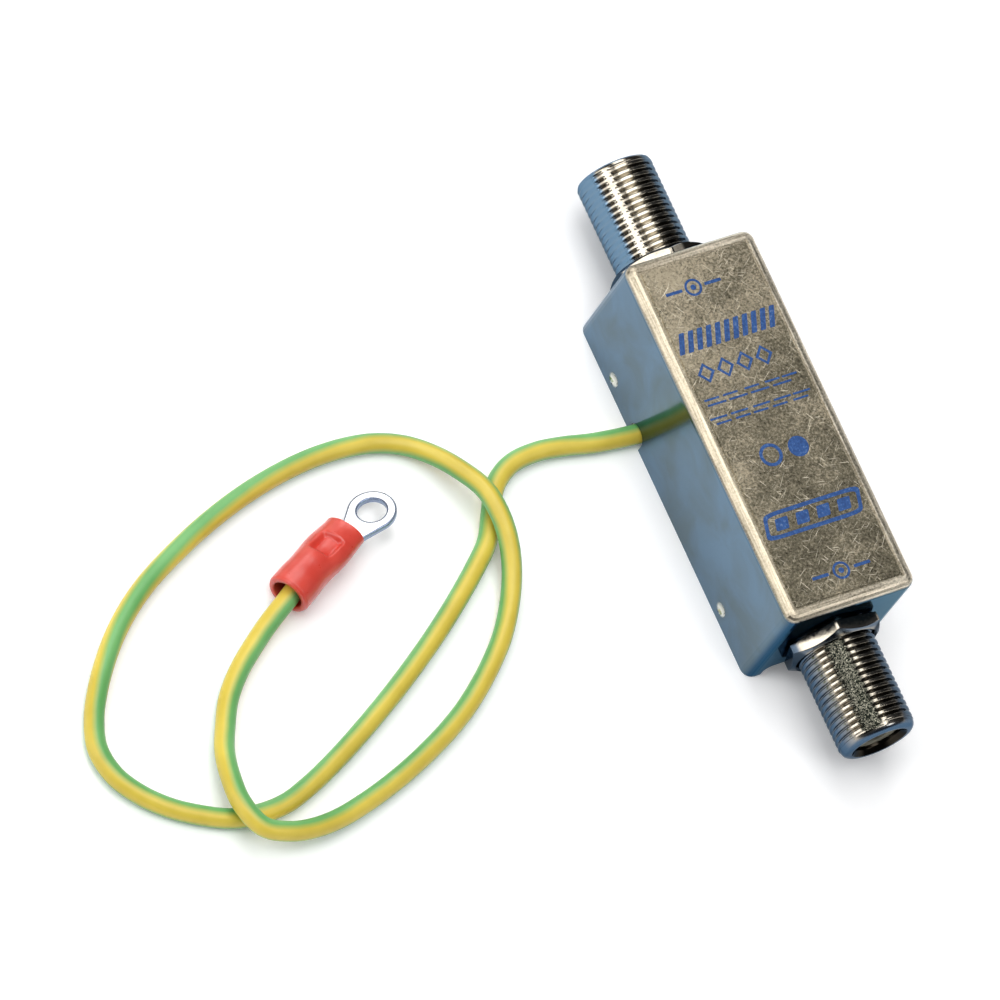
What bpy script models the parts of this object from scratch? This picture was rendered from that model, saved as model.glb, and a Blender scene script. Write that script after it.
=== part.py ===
"""Inline surge protector for a coaxial line, with a green and yellow earth lead.

The housing is a drawn tinplate can that snaps over a folded tray. A threaded coaxial
socket passes through each end wall of both and is held by a hex nut outside. Between the
sockets a small board carries a gas discharge tube, a choke, two disc capacitors and two
clamp diodes. The earth lead leaves a notch in the left wall, lies in one and a half loops
on the table and ends in an insulated ring terminal.

Frame: origin under the middle of the housing, on the table. +X is across the housing,
+Y runs along it to the line socket, +Z is up. Lengths are in metres.
"""

import math

import bmesh
import bpy
import numpy as np
from mathutils import Euler, Matrix, Vector

MM = 0.001

# Housing can
CAN_LENGTH = 47.3 * MM
CAN_WIDTH = 17.4 * MM
CAN_HEIGHT = 16.75 * MM
SHEET = 0.5 * MM
CAN_CORNER = 1.35 * MM
CAN_EDGE = 1.1 * MM
END_WALL_RAISE = 2.0 * MM
END_RELIEF_INSET = 2.1 * MM
END_RELIEF_ROUND = 1.2 * MM
COIN_INSET = 1.5 * MM
COIN_WIDTH = 0.3 * MM
COIN_DEPTH = 0.12 * MM

# Snap dimples
DIMPLE_RADIUS = 1.0 * MM
DIMPLE_DEPTH = 0.4 * MM
DIMPLE_FROM_MIDDLE = 15.3 * MM
DIMPLE_HEIGHT = 2.05 * MM

# Clearances
SEAT = 0.3 * MM
THREAD_PLAY = 0.2 * MM
OVERCUT = 3.0 * MM

# Tray
TRAY_FOLD = 0.7 * MM
TRAY_END_HEIGHT = 14.0 * MM
TRAY_END_WEB = 1.25 * MM

# Coaxial sockets, 3/8-32 thread
AXIS_HEIGHT = 7.35 * MM
THREAD_DIAMETER = 9.525 * MM
SOCKET_REACH = 14.3 * MM
THREAD_PITCH = 25.4 / 32 * MM
THREAD_DEPTH = 0.44 * MM
LINE_LIP = 0.5 * MM
EQUIPMENT_LIP = 1.3 * MM
LIP_SETBACK = 0.12 * MM
LIP_ROUND = 0.4 * MM
COUNTERSINK = 0.55 * MM
SOCKET_BORE = 2.95 * MM
FLANGE_RADIUS = 6.0 * MM
FLANGE_THICKNESS = 1.5 * MM
BOSS_RADIUS = 4.0 * MM
BOSS_LENGTH = 2.5 * MM
INSULATOR_RECESS = 0.9 * MM
GUIDE_RADIUS = 0.9 * MM
CONTACT_RADIUS = 0.6 * MM
CONTACT_BORE = 0.32 * MM
CONTACT_BORE_DEPTH = 7.0 * MM
CONTACT_SLOT = 0.16 * MM
CONTACT_TAIL_RADIUS = 0.45 * MM
CONTACT_TAIL = 3.6 * MM

# Nut and lock washer
NUT_ACROSS_FLATS = 11.1 * MM
NUT_THICKNESS = 1.8 * MM
NUT_CHAMFER = math.radians(30)
NUT_FACE_SHARE = 0.93
LINE_NUT_TURN = math.radians(-4)
EQUIPMENT_NUT_TURN = math.radians(14)
WASHER_THICKNESS = 0.5 * MM
WASHER_RADIUS = 5.9 * MM
WASHER_TEETH = 12
WASHER_TOOTH = 0.35 * MM

# Circuit board and what it carries
BOARD_THICKNESS = 1.2 * MM
BOARD_SIDE_GAP = 0.4 * MM
LEAD_RADIUS = 0.35 * MM
LEAD_BELOW_BOARD = 1.0 * MM
TUBE_HEADROOM = 1.6 * MM
TUBE_CERAMIC_LENGTH = 4.2 * MM
TUBE_CERAMIC_WALL = 1.0 * MM
TUBE_CAP_THICKNESS = 0.7 * MM
TUBE_LEAD_REACH = 1.4 * MM
TUBE_PLACE_Y = -4.0 * MM
CHOKE_RADIUS = 2.2 * MM
CHOKE_WIRE_RADIUS = 0.3 * MM
CHOKE_TURNS = 6
CHOKE_PITCH = 0.95 * MM
CHOKE_PLACE_Y = 6.5 * MM
DISC_RADIUS = 2.6 * MM
DISC_THICKNESS = 1.8 * MM
DISC_INSET = 2.9 * MM
DISC_PLACE_Y = 6.5 * MM
DISC_LEG_SPREAD = 1.25 * MM
DISC_STANDOFF = 1.3 * MM
DIODE_WIDTH = 3.6 * MM
DIODE_LENGTH = 4.6 * MM
DIODE_HEIGHT = 2.3 * MM
DIODE_INSET = 2.9 * MM
DIODE_PLACE_Y = -11.3 * MM
DIODE_CHAMFER = 0.35 * MM

# Earth lead
WIRE_RADIUS = 1.2 * MM
WIRE_EXIT_Y = 8.3 * MM
WIRE_SLOT_DEPTH = 2.5 * MM
WIRE_POINTS = 76
CONDUCTOR_RADIUS = 0.55 * MM
TAG_THICKNESS = 0.5 * MM
TAG_RADIUS = 2.6 * MM
TAG_HOLE = 1.1 * MM
TAG_PLACE_X = 3.2 * MM
TAG_PLACE_Y = 8.45 * MM
TAG_TONGUE_LENGTH = 5.4 * MM
TAG_TONGUE_WIDTH = 2.6 * MM
CONDUCTOR_STRAIGHT = 1.2 * MM
CONDUCTOR_RAMP = 1.6 * MM
CONDUCTOR_LIFT = 0.3 * MM

# Route of the earth lead's centre, from inside the housing to inside the terminal, in mm
WIRE_ROUTE = [
    (-3.9, 8.3, 2.95), (-5.6, 8.3, 2.15), (-7.3, 8.3, 1.42), (-9.1, 8.4, 1.2),
    (-13.7, 8.85, 1.2), (-18.3, 9.7, 1.2), (-22.1, 10.0, 1.2), (-25.1, 9.5, 1.2),
    (-27.5, 8.2, 1.2), (-29.5, 5.5, 1.2), (-31.7, 1.8, 1.2), (-36.0, -2.1, 1.2),
    (-43.1, -7.4, 1.2), (-51.8, -12.9, 1.2), (-61.1, -17.9, 1.2), (-66.5, -20.2, 1.2),
    (-70.3, -21.2, 1.2), (-73.7, -21.1, 1.2), (-76.3, -20.6, 1.2), (-79.6, -19.1, 1.2),
    (-83.1, -16.8, 1.2), (-85.9, -13.8, 1.2), (-87.6, -10.3, 1.2), (-87.6, -7.1, 1.2),
    (-86.2, -3.7, 1.2), (-83.5, 0.3, 1.2), (-79.5, 4.7, 1.2), (-74.4, 8.6, 1.2),
    (-67.6, 12.1, 1.2), (-60.7, 14.8, 1.2), (-54.0, 16.6, 1.2), (-47.3, 17.5, 1.2),
    (-41.3, 17.2, 1.2), (-37.5, 16.0, 1.35), (-34.5, 13.6, 2.0), (-32.1, 9.9, 3.2),
    (-30.6, 6.3, 3.9), (-30.3, 2.5, 3.8), (-30.7, -1.3, 2.9), (-32.0, -5.0, 1.8),
    (-35.0, -9.6, 1.2), (-39.6, -14.0, 1.2), (-44.8, -17.7, 1.2), (-51.8, -21.1, 1.2),
    (-58.7, -23.5, 1.25), (-65.1, -24.9, 1.7), (-70.1, -24.9, 2.8), (-73.6, -23.8, 3.6),
    (-75.1, -21.4, 3.9), (-75.2, -18.1, 3.6), (-74.2, -13.9, 2.5), (-72.1, -10.0, 1.5),
    (-69.8, -6.5, 1.2), (-66.8, -3.6, 1.2), (-62.9, -0.75, 1.35), (-60.6, 0.8, 1.85),
    (-58.7, 1.85, 2.3), (-57.2, 2.75, 2.55), (-55.8, 3.6, 2.65),
]

# Ring terminal, in a frame that starts at the sleeve's open end and runs along its axis
TERMINAL_X = -58.75 * MM
TERMINAL_Y = 2.15 * MM
TERMINAL_Z = 2.72 * MM
TERMINAL_HEADING = math.radians(28.3)
TERMINAL_ROLL = math.radians(-27)
SLEEVE_LENGTH = 11.6 * MM
SLEEVE_WALL = 0.75 * MM
SLEEVE_FRONT_WALL = 0.4 * MM
SLEEVE_RADIUS = 2.7 * MM
SLEEVE_ROUND = 0.35 * MM
WAIST_RADIUS = 2.5 * MM
CRIMP_HALF_WIDTH = 2.95 * MM
CRIMP_HALF_HEIGHT = 2.2 * MM
SLEEVE_END_HALF_WIDTH = 2.6 * MM
SLEEVE_END_HALF_HEIGHT = 1.8 * MM
SLEEVE_END_SAG = 0.35 * MM
DENT_DEPTH = 0.3 * MM
DENT_SIDE = -1.0 * MM
DENT_HALF_LENGTH = 1.7 * MM
DENT_HALF_WIDTH = 1.5 * MM
BARREL_LENGTH = 3.4 * MM
BARREL_RADIUS = 1.15 * MM
BARREL_WALL = 0.4 * MM
TONGUE_THICKNESS = 0.75 * MM
TONGUE_DROP = 0.8 * MM
TONGUE_SIDE = -0.75 * MM
TONGUE_ROOT_LAP = 1.0 * MM
RING_REACH = 4.45 * MM
RING_RADIUS = 2.9 * MM
RING_HOLE = 1.75 * MM
NECK_HALF_WIDTH = 1.35 * MM

# Places worked out from the sizes above
CAN_HALF_LENGTH = CAN_LENGTH / 2
THREAD_RADIUS = THREAD_DIAMETER / 2
TRAY_LENGTH = CAN_LENGTH - 2 * (SHEET + SEAT)
TRAY_WIDTH = CAN_WIDTH - 2 * (SHEET + SEAT)
WASHER_FACE = -(2 * SHEET + 2 * SEAT)
FLANGE_FACE = WASHER_FACE - WASHER_THICKNESS - SEAT
FLANGE_BACK = FLANGE_FACE - FLANGE_THICKNESS
BOSS_END = FLANGE_BACK - BOSS_LENGTH
CONTACT_END = BOSS_END - CONTACT_TAIL
BOARD_TOP = AXIS_HEIGHT - CONTACT_TAIL_RADIUS - SEAT
BOARD_BOTTOM = BOARD_TOP - BOARD_THICKNESS
TRAY_SIDE_HEIGHT = BOARD_BOTTOM - SEAT
BOARD_LENGTH = 2 * (CAN_HALF_LENGTH + BOSS_END - SEAT)
BOARD_WIDTH = CAN_WIDTH - 2 * (SHEET + BOARD_SIDE_GAP)
HOLE_RADIUS = THREAD_RADIUS + SEAT
TRAY_CORNER_SLIT = TRAY_WIDTH / 2 - HOLE_RADIUS - TRAY_END_WEB
CAN_ROOM = CAN_HEIGHT - SHEET - BOARD_TOP
TUBE_RADIUS = (CAN_ROOM - SEAT - TUBE_HEADROOM) / 2
DISC_PLACE_X = BOARD_WIDTH / 2 - DISC_INSET
DIODE_PLACE_X = BOARD_WIDTH / 2 - DIODE_INSET
WAIST_PLACE = 0.36 * SLEEVE_LENGTH
CRIMP_PLACE = 0.66 * SLEEVE_LENGTH
DENT_PLACE = 0.585 * SLEEVE_LENGTH
BARREL_START = 0.45 * SLEEVE_LENGTH
RING_PLACE = SLEEVE_LENGTH - SEAT + RING_REACH

TIN = ("#B9B09A", 0.28, 1.0)
NICKEL = ("#B5AC98", 0.25, 1.0)
BRASS = ("#B08D57", 0.3, 1.0)
POLYETHYLENE = ("#E9E6DC", 0.5, 0.0)


def clear_scene():
    """Remove what the scene holds, so the model stands alone."""
    for item in list(bpy.data.objects):
        bpy.data.objects.remove(item, do_unlink=True)


def new_collection(name):
    collection = bpy.data.collections.new(name)
    bpy.context.scene.collection.children.link(collection)
    return collection


def linear(value):
    """One sRGB channel, 0 to 1, as a linear value."""
    if value <= 0.04045:
        return value / 12.92
    return ((value + 0.055) / 1.055) ** 2.4


def finish(piece, look):
    """Give a piece its own Principled material from a (hex, roughness, metallic) look."""
    colour, roughness, metallic = look
    channels = [linear(int(colour[i:i + 2], 16) / 255) for i in (1, 3, 5)]
    material = bpy.data.materials.new(piece.name + "_finish")
    material.use_nodes = True
    shader = material.node_tree.nodes["Principled BSDF"]
    shader.inputs["Base Color"].default_value = (*channels, 1.0)
    shader.inputs["Roughness"].default_value = roughness
    shader.inputs["Metallic"].default_value = metallic
    piece.data.materials.clear()
    piece.data.materials.append(material)


def add_object(name, mesh, collection, parent=None, place=(0, 0, 0), turn=(0, 0, 0)):
    piece = bpy.data.objects.new(name, mesh)
    collection.objects.link(piece)
    piece.parent = parent
    piece.location = place
    piece.rotation_euler = Euler(turn)
    return piece


def mesh_from(build):
    """Run one bmesh recipe and return its mesh."""
    shape = bmesh.new()
    build(shape)
    mesh = bpy.data.meshes.new("shape")
    shape.to_mesh(mesh)
    shape.free()
    return mesh


def make_cutter(piece):
    piece.hide_render = True
    piece.display_type = "WIRE"
    return piece


def cut(piece, other, operation="DIFFERENCE"):
    """Join, cut or intersect a piece with another closed mesh."""
    step = piece.modifiers.new(operation.lower() + "_" + other.name, "BOOLEAN")
    step.object = other
    step.operation = operation
    step.solver = "EXACT"


def box_mesh(low, high, round_edges=None, radius=0.0, segments=4):
    """A box between two corners, with the edges that a test picks rounded."""
    size = [high[i] - low[i] for i in range(3)]
    middle = [(high[i] + low[i]) / 2 for i in range(3)]

    def build(shape):
        place = Matrix.Translation(middle) @ Matrix.Diagonal((*size, 1.0))
        bmesh.ops.create_cube(shape, size=1.0, matrix=place)
        if round_edges:
            chosen = [edge for edge in shape.edges if round_edges(edge)]
            bmesh.ops.bevel(shape, geom=chosen, offset=radius, segments=segments,
                            profile=0.5, affect="EDGES")
    return mesh_from(build)


def cylinder_mesh(radius, length, sides=48):
    """A cylinder along Z, centred on the origin."""
    return mesh_from(lambda shape: bmesh.ops.create_cone(
        shape, cap_ends=True, segments=sides, radius1=radius, radius2=radius, depth=length))


def turned(name, outline, collection, parent, steps=48, place=(0, 0, 0), turn=(0, 0, 0)):
    """Turn an outline of (radius, height) points about the local Z axis.

    The outline runs down its outer side. It is closed unless it starts and ends on the axis.
    """
    on_axis = outline[0][0] == 0 and outline[-1][0] == 0
    points = [(radius, 0.0, height) for radius, height in outline]
    edges = [(i, i + 1) for i in range(len(points) - 1)]
    if not on_axis:
        edges.append((len(points) - 1, 0))
    mesh = bpy.data.meshes.new(name)
    mesh.from_pydata(points, edges, [])
    piece = add_object(name, mesh, collection, parent, place, turn)
    screw = piece.modifiers.new("turn", "SCREW")
    screw.axis = "Z"
    screw.steps = steps
    screw.render_steps = steps
    screw.use_merge_vertices = True
    screw.merge_threshold = 0.00001
    screw.use_smooth_shade = False
    return piece


def circle_points(radius, count, middle=(0.0, 0.0), start=0.0, sweep=2 * math.pi):
    """Points on an arc. A full circle leaves its last point out."""
    last = count if abs(sweep) >= 2 * math.pi else count - 1
    angles = start + np.arange(count) * sweep / last
    return [(middle[0] + radius * math.cos(a), middle[1] + radius * math.sin(a)) for a in angles]


def flat_piece(name, outlines, thickness, collection, parent=None, place=(0, 0, 0)):
    """A flat blank of sheet: the first outline is its edge, the others are holes."""
    curve = bpy.data.curves.new(name, "CURVE")
    curve.dimensions = "2D"
    curve.fill_mode = "BOTH"
    curve.extrude = thickness / 2
    for outline in outlines:
        spline = curve.splines.new("POLY")
        spline.points.add(len(outline) - 1)
        for point, (x, y) in zip(spline.points, outline):
            point.co = (x, y, 0.0, 1.0)
        spline.use_cyclic_u = True
    return add_object(name, curve, collection, parent, place)


def wire_piece(name, points, radius, collection, parent=None):
    """A round wire through points, with closed ends."""
    curve = bpy.data.curves.new(name, "CURVE")
    curve.dimensions = "3D"
    curve.bevel_depth = radius
    curve.bevel_resolution = 2
    curve.use_fill_caps = True
    spline = curve.splines.new("POLY")
    spline.points.add(len(points) - 1)
    for point, place_on_path in zip(spline.points, points):
        point.co = (*place_on_path, 1.0)
    return add_object(name, curve, collection, parent)


def as_mesh(piece):
    """Turn a curve object into a welded mesh object at the same place."""
    bpy.context.view_layer.update()
    evaluated = piece.evaluated_get(bpy.context.evaluated_depsgraph_get())
    mesh = bpy.data.meshes.new_from_object(evaluated)
    shape = bmesh.new()
    shape.from_mesh(mesh)
    bmesh.ops.remove_doubles(shape, verts=shape.verts, dist=0.000001)
    bmesh.ops.recalc_face_normals(shape, faces=shape.faces)
    shape.to_mesh(mesh)
    shape.free()
    name = piece.name
    parent = piece.parent
    place = piece.matrix_basis.copy()
    collection = piece.users_collection[0]
    bpy.data.objects.remove(piece, do_unlink=True)
    solid = add_object(name, mesh, collection, parent)
    solid.matrix_basis = place
    return solid


def smooth_path(points, count):
    """Evenly spaced points on a centripetal Catmull-Rom curve through the given points."""
    given = np.array(points, dtype=float)
    given = np.vstack([2 * given[0] - given[1], given, 2 * given[-1] - given[-2]])
    knots = np.concatenate([[0.0], np.cumsum(np.linalg.norm(np.diff(given, axis=0), axis=1) ** 0.5)])
    fine = []
    for i in range(1, len(given) - 2):
        t = np.linspace(knots[i], knots[i + 1], 16, endpoint=False)[:, None]
        k0, k1, k2, k3 = knots[i - 1:i + 3]
        p0, p1, p2, p3 = given[i - 1:i + 3]
        a1 = (k1 - t) / (k1 - k0) * p0 + (t - k0) / (k1 - k0) * p1
        a2 = (k2 - t) / (k2 - k1) * p1 + (t - k1) / (k2 - k1) * p2
        a3 = (k3 - t) / (k3 - k2) * p2 + (t - k2) / (k3 - k2) * p3
        b1 = (k2 - t) / (k2 - k0) * a1 + (t - k0) / (k2 - k0) * a2
        b2 = (k3 - t) / (k3 - k1) * a2 + (t - k1) / (k3 - k1) * a3
        fine.append((k2 - t) / (k2 - k1) * b1 + (t - k1) / (k2 - k1) * b2)
    fine = np.vstack(fine + [given[-2:-1]])
    reach = np.concatenate([[0.0], np.cumsum(np.linalg.norm(np.diff(fine, axis=0), axis=1))])
    even = np.linspace(0.0, reach[-1], count)
    return np.stack([np.interp(even, reach, fine[:, axis]) for axis in range(3)], axis=1)


def eased(value, keys):
    """A value that eases between (place, size) keys."""
    places = [key[0] for key in keys]
    sizes = [key[1] for key in keys]
    if value <= places[0]:
        return sizes[0]
    for i in range(len(keys) - 1):
        if value <= places[i + 1]:
            share = (value - places[i]) / (places[i + 1] - places[i])
            return sizes[i] + (sizes[i + 1] - sizes[i]) * (3 - 2 * share) * share * share
    return sizes[-1]


def at_height(edge, height):
    return all(abs(vert.co.z - height) < 0.00001 for vert in edge.verts)


def is_upright(edge):
    first, second = edge.verts
    return abs(first.co.z - second.co.z) > 0.00001 and (first.co - second.co).xy.length < 0.00001


def open_box(name, width, length, height, open_side, corner, fold, segments, collection):
    """A box of sheet with one side open, rounded at its uprights and at its closed end."""
    closed_height = height if open_side == "bottom" else 0.0
    open_height = 0.0 if open_side == "bottom" else height

    def build(shape):
        place = Matrix.Translation((0, 0, height / 2)) @ Matrix.Diagonal((width, length, height, 1.0))
        bmesh.ops.create_cube(shape, size=1.0, matrix=place)
        opening = [face for face in shape.faces
                   if abs(face.calc_center_median().z - open_height) < 0.00001]
        bmesh.ops.delete(shape, geom=opening, context="FACES_ONLY")
        uprights = [edge for edge in shape.edges if is_upright(edge)]
        bmesh.ops.bevel(shape, geom=uprights, offset=corner, segments=segments, profile=0.5, affect="EDGES")
        closed = [edge for edge in shape.edges if at_height(edge, closed_height)]
        bmesh.ops.bevel(shape, geom=closed, offset=fold, segments=segments, profile=0.5, affect="EDGES")

    piece = add_object(name, mesh_from(build), collection)
    wall = piece.modifiers.new("sheet", "SOLIDIFY")
    wall.thickness = SHEET
    wall.offset = -1.0
    wall.use_even_offset = True
    return piece


def arch_cutter(name, low_x, high_x, y, top, width, collection):
    """A tunnel along X with a round roof, open below."""
    roof = width / 2 - 0.00001

    def is_roof(edge):
        first, second = edge.verts
        return at_height(edge, top) and abs(first.co.y - second.co.y) < 0.00001

    mesh = box_mesh((low_x, y - width / 2, -OVERCUT), (high_x, y + width / 2, top), is_roof, roof, 6)
    return make_cutter(add_object(name, mesh, collection))


def dimple_pair(side, y, collection):
    """The outer hollow and the inner bulge of one pressed dimple."""
    ball = (DIMPLE_RADIUS ** 2 + DIMPLE_DEPTH ** 2) / (2 * DIMPLE_DEPTH)
    middle = (side * (CAN_WIDTH / 2 + ball - DIMPLE_DEPTH), y, DIMPLE_HEIGHT)
    label = ("left" if side < 0 else "right") + ("_line" if y > 0 else "_equipment")
    hollow = mesh_from(lambda shape: bmesh.ops.create_uvsphere(
        shape, u_segments=20, v_segments=14, radius=ball))

    def build_bulge(shape):
        bmesh.ops.create_uvsphere(shape, u_segments=12, v_segments=10, radius=ball + SHEET)
        inside = -side * (ball - DIMPLE_DEPTH + SHEET / 2)
        bmesh.ops.bisect_plane(shape, geom=shape.verts[:] + shape.edges[:] + shape.faces[:],
                               plane_co=(inside, 0, 0), plane_no=(side, 0, 0), clear_outer=True)
        rim = [edge for edge in shape.edges if edge.is_boundary]
        bmesh.ops.edgeloop_fill(shape, edges=rim)
        bmesh.ops.recalc_face_normals(shape, faces=shape.faces)

    hollow = make_cutter(add_object("hollow_" + label, hollow, collection, None, middle))
    bulge = make_cutter(add_object("bulge_" + label, mesh_from(build_bulge), collection, None, middle))
    return hollow, bulge


def coin_cutter(collection):
    """A thin upright band that presses the line inside the can's top edges."""
    width = CAN_WIDTH - 2 * COIN_INSET
    length = CAN_LENGTH - 2 * COIN_INSET
    low = CAN_HEIGHT - COIN_DEPTH
    mesh = box_mesh((-width / 2, -length / 2, low), (width / 2, length / 2, CAN_HEIGHT + OVERCUT))
    shape = bmesh.new()
    shape.from_mesh(mesh)
    ends = [face for face in shape.faces if abs(face.normal.z) > 0.5]
    bmesh.ops.delete(shape, geom=ends, context="FACES_ONLY")
    shape.to_mesh(mesh)
    shape.free()
    band = make_cutter(add_object("coin_band", mesh, collection))
    wall = band.modifiers.new("band", "SOLIDIFY")
    wall.thickness = COIN_WIDTH
    wall.offset = 0.0
    wall.use_even_offset = True
    return band


def build_can(collection, cutters, bore, notch):
    """The drawn can: raised end walls, snap dimples, coined line, socket holes, wire notch."""
    can = open_box("housing_can", CAN_WIDTH, CAN_LENGTH, CAN_HEIGHT, "bottom",
                   CAN_CORNER, CAN_EDGE, 5, collection)
    half = CAN_WIDTH / 2 - END_RELIEF_INSET

    def is_relief_roof(edge):
        first, second = edge.verts
        return at_height(edge, END_WALL_RAISE) and abs(first.co.x - second.co.x) < 0.00001

    low = (-half, -CAN_HALF_LENGTH - OVERCUT, -OVERCUT)
    high = (half, CAN_HALF_LENGTH + OVERCUT, END_WALL_RAISE)
    relief = make_cutter(add_object(
        "end_relief", box_mesh(low, high, is_relief_roof, END_RELIEF_ROUND, 5), cutters))
    cut(can, relief)
    cut(can, bore)
    cut(can, notch)
    cut(can, coin_cutter(cutters))
    for side in (-1, 1):
        for y in (-DIMPLE_FROM_MIDDLE, DIMPLE_FROM_MIDDLE):
            hollow, bulge = dimple_pair(side, y, cutters)
            cut(can, bulge, "UNION")
            cut(can, hollow)
    finish(can, TIN)


def build_tray(collection, cutters, bore, notch):
    """The folded tray: end flanges that carry the sockets, low sides that carry the board."""
    tray = open_box("base_tray", TRAY_WIDTH, TRAY_LENGTH, TRAY_END_HEIGHT, "top",
                    SHEET + SEAT, TRAY_FOLD, 3, collection)
    side_top = make_cutter(add_object("side_top", box_mesh(
        (-TRAY_WIDTH, -TRAY_LENGTH / 2 + TRAY_CORNER_SLIT, TRAY_SIDE_HEIGHT),
        (TRAY_WIDTH, TRAY_LENGTH / 2 - TRAY_CORNER_SLIT, TRAY_END_HEIGHT + OVERCUT)), cutters))
    cut(tray, side_top)
    for side in (-1, 1):
        for end in (-1, 1):
            x = side * TRAY_WIDTH / 2
            y = end * TRAY_LENGTH / 2
            slit = make_cutter(add_object("slit_%d_%d" % (side, end), box_mesh(
                (x - TRAY_CORNER_SLIT, y - TRAY_CORNER_SLIT, SHEET + TRAY_FOLD),
                (x + TRAY_CORNER_SLIT, y + TRAY_CORNER_SLIT, TRAY_END_HEIGHT + OVERCUT)), cutters))
            cut(tray, slit)
    ball = (DIMPLE_RADIUS ** 2 + DIMPLE_DEPTH ** 2) / (2 * DIMPLE_DEPTH)
    depth = ball - DIMPLE_DEPTH + SHEET + SEAT
    snap_hole = math.sqrt((ball + SHEET) ** 2 - depth ** 2) + SEAT
    for y in (-DIMPLE_FROM_MIDDLE, DIMPLE_FROM_MIDDLE):
        mesh = cylinder_mesh(snap_hole, CAN_WIDTH + OVERCUT, 20)
        hole = make_cutter(add_object("snap_hole", mesh, cutters, None, (0, y, DIMPLE_HEIGHT),
                                      (0, math.radians(90), 0)))
        cut(tray, hole)
    cut(tray, bore)
    cut(tray, notch)
    finish(tray, TIN)


def build_socket(label, port, lip_length, collection, cutters):
    """One threaded socket: shell, insulator, spring contact and toothed lock washer.

    Heights run outwards from the can's end wall. The thread is cut as rings at its pitch,
    from the plain lip down to the nut.
    """
    tip = SOCKET_REACH
    lip = tip - lip_length
    edge = THREAD_RADIUS - LIP_SETBACK
    crest = lip - LIP_SETBACK
    thread = [(THREAD_RADIUS, crest)]
    while crest - THREAD_PITCH > SEAT + NUT_THICKNESS:
        thread += [(THREAD_RADIUS - THREAD_DEPTH, crest - THREAD_PITCH / 2),
                   (THREAD_RADIUS, crest - THREAD_PITCH)]
        crest -= THREAD_PITCH
    shell = [
        (SOCKET_BORE + COUNTERSINK, tip), (edge - LIP_ROUND, tip),
        (edge - 0.3 * LIP_ROUND, tip - 0.3 * LIP_ROUND), (edge, tip - LIP_ROUND), (edge, lip),
        *thread, (THREAD_RADIUS, FLANGE_FACE),
        (FLANGE_RADIUS, FLANGE_FACE), (FLANGE_RADIUS, FLANGE_BACK), (BOSS_RADIUS, FLANGE_BACK),
        (BOSS_RADIUS, BOSS_END), (SOCKET_BORE, BOSS_END), (SOCKET_BORE, tip - COUNTERSINK),
    ]
    finish(turned(label + "_socket_shell", shell, collection, port, 24), NICKEL)
    plug_radius = SOCKET_BORE - SEAT
    front = tip - INSULATOR_RECESS
    mouth = front - GUIDE_RADIUS
    plug = [
        (GUIDE_RADIUS * 1.6, front), (plug_radius, front), (plug_radius, BOSS_END),
        (GUIDE_RADIUS, BOSS_END), (GUIDE_RADIUS, mouth),
    ]
    finish(turned(label + "_insulator", plug, collection, port, 24), POLYETHYLENE)
    contact_tip = mouth - SEAT
    bore_end = contact_tip - CONTACT_BORE_DEPTH
    pin = [
        (0.0, bore_end), (CONTACT_BORE, bore_end), (CONTACT_BORE, contact_tip),
        (CONTACT_RADIUS, contact_tip), (CONTACT_RADIUS, BOSS_END),
        (CONTACT_TAIL_RADIUS, BOSS_END - CONTACT_RADIUS), (CONTACT_TAIL_RADIUS, CONTACT_END),
        (0.0, CONTACT_END),
    ]
    contact = turned(label + "_contact", pin, collection, port, 16)
    slot = make_cutter(add_object(label + "_contact_slot", box_mesh(
        (-CONTACT_SLOT / 2, -OVERCUT, bore_end + CONTACT_RADIUS),
        (CONTACT_SLOT / 2, OVERCUT, contact_tip + OVERCUT)), cutters, port))
    cut(contact, slot)
    finish(contact, BRASS)
    rim = circle_points(WASHER_RADIUS, 24)
    teeth = []
    for i in range(4 * WASHER_TEETH):
        angle = 2 * math.pi * i / (4 * WASHER_TEETH)
        radius = HOLE_RADIUS + (WASHER_TOOTH if i % 4 > 1 else 0.0)
        teeth.append((radius * math.cos(angle), radius * math.sin(angle)))
    middle = WASHER_FACE - WASHER_THICKNESS / 2
    washer = flat_piece(label + "_lock_washer", [rim, teeth], WASHER_THICKNESS, collection,
                        port, (0, 0, middle))
    finish(as_mesh(washer), NICKEL)


def build_nut(label, port, turn, collection, cutters):
    """A thin hex nut, chamfered on its outer face, just clear of the end wall."""
    corner = NUT_ACROSS_FLATS / math.sqrt(3)
    place = (0, 0, SEAT + NUT_THICKNESS / 2)
    nut = add_object(label + "_nut", cylinder_mesh(corner, NUT_THICKNESS, 6), collection,
                     port, place, (0, 0, turn))
    face_radius = NUT_ACROSS_FLATS / 2 * NUT_FACE_SHARE
    drop = (corner - face_radius) * math.tan(NUT_CHAMFER)
    base = corner + NUT_THICKNESS
    cone = [
        (0.0, NUT_THICKNESS / 2), (face_radius, NUT_THICKNESS / 2),
        (corner, NUT_THICKNESS / 2 - drop), (base, NUT_THICKNESS / 2 - drop),
        (base, -NUT_THICKNESS), (0.0, -NUT_THICKNESS),
    ]
    shaper = turned(label + "_nut_shaper", cone, cutters, port, 36, place)
    cut(nut, make_cutter(shaper), "INTERSECT")
    thread = make_cutter(add_object(label + "_nut_thread", cylinder_mesh(
        THREAD_RADIUS + THREAD_PLAY, NUT_THICKNESS + 2 * OVERCUT, 24), cutters, port, place))
    cut(nut, thread)
    finish(nut, NICKEL)


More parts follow.
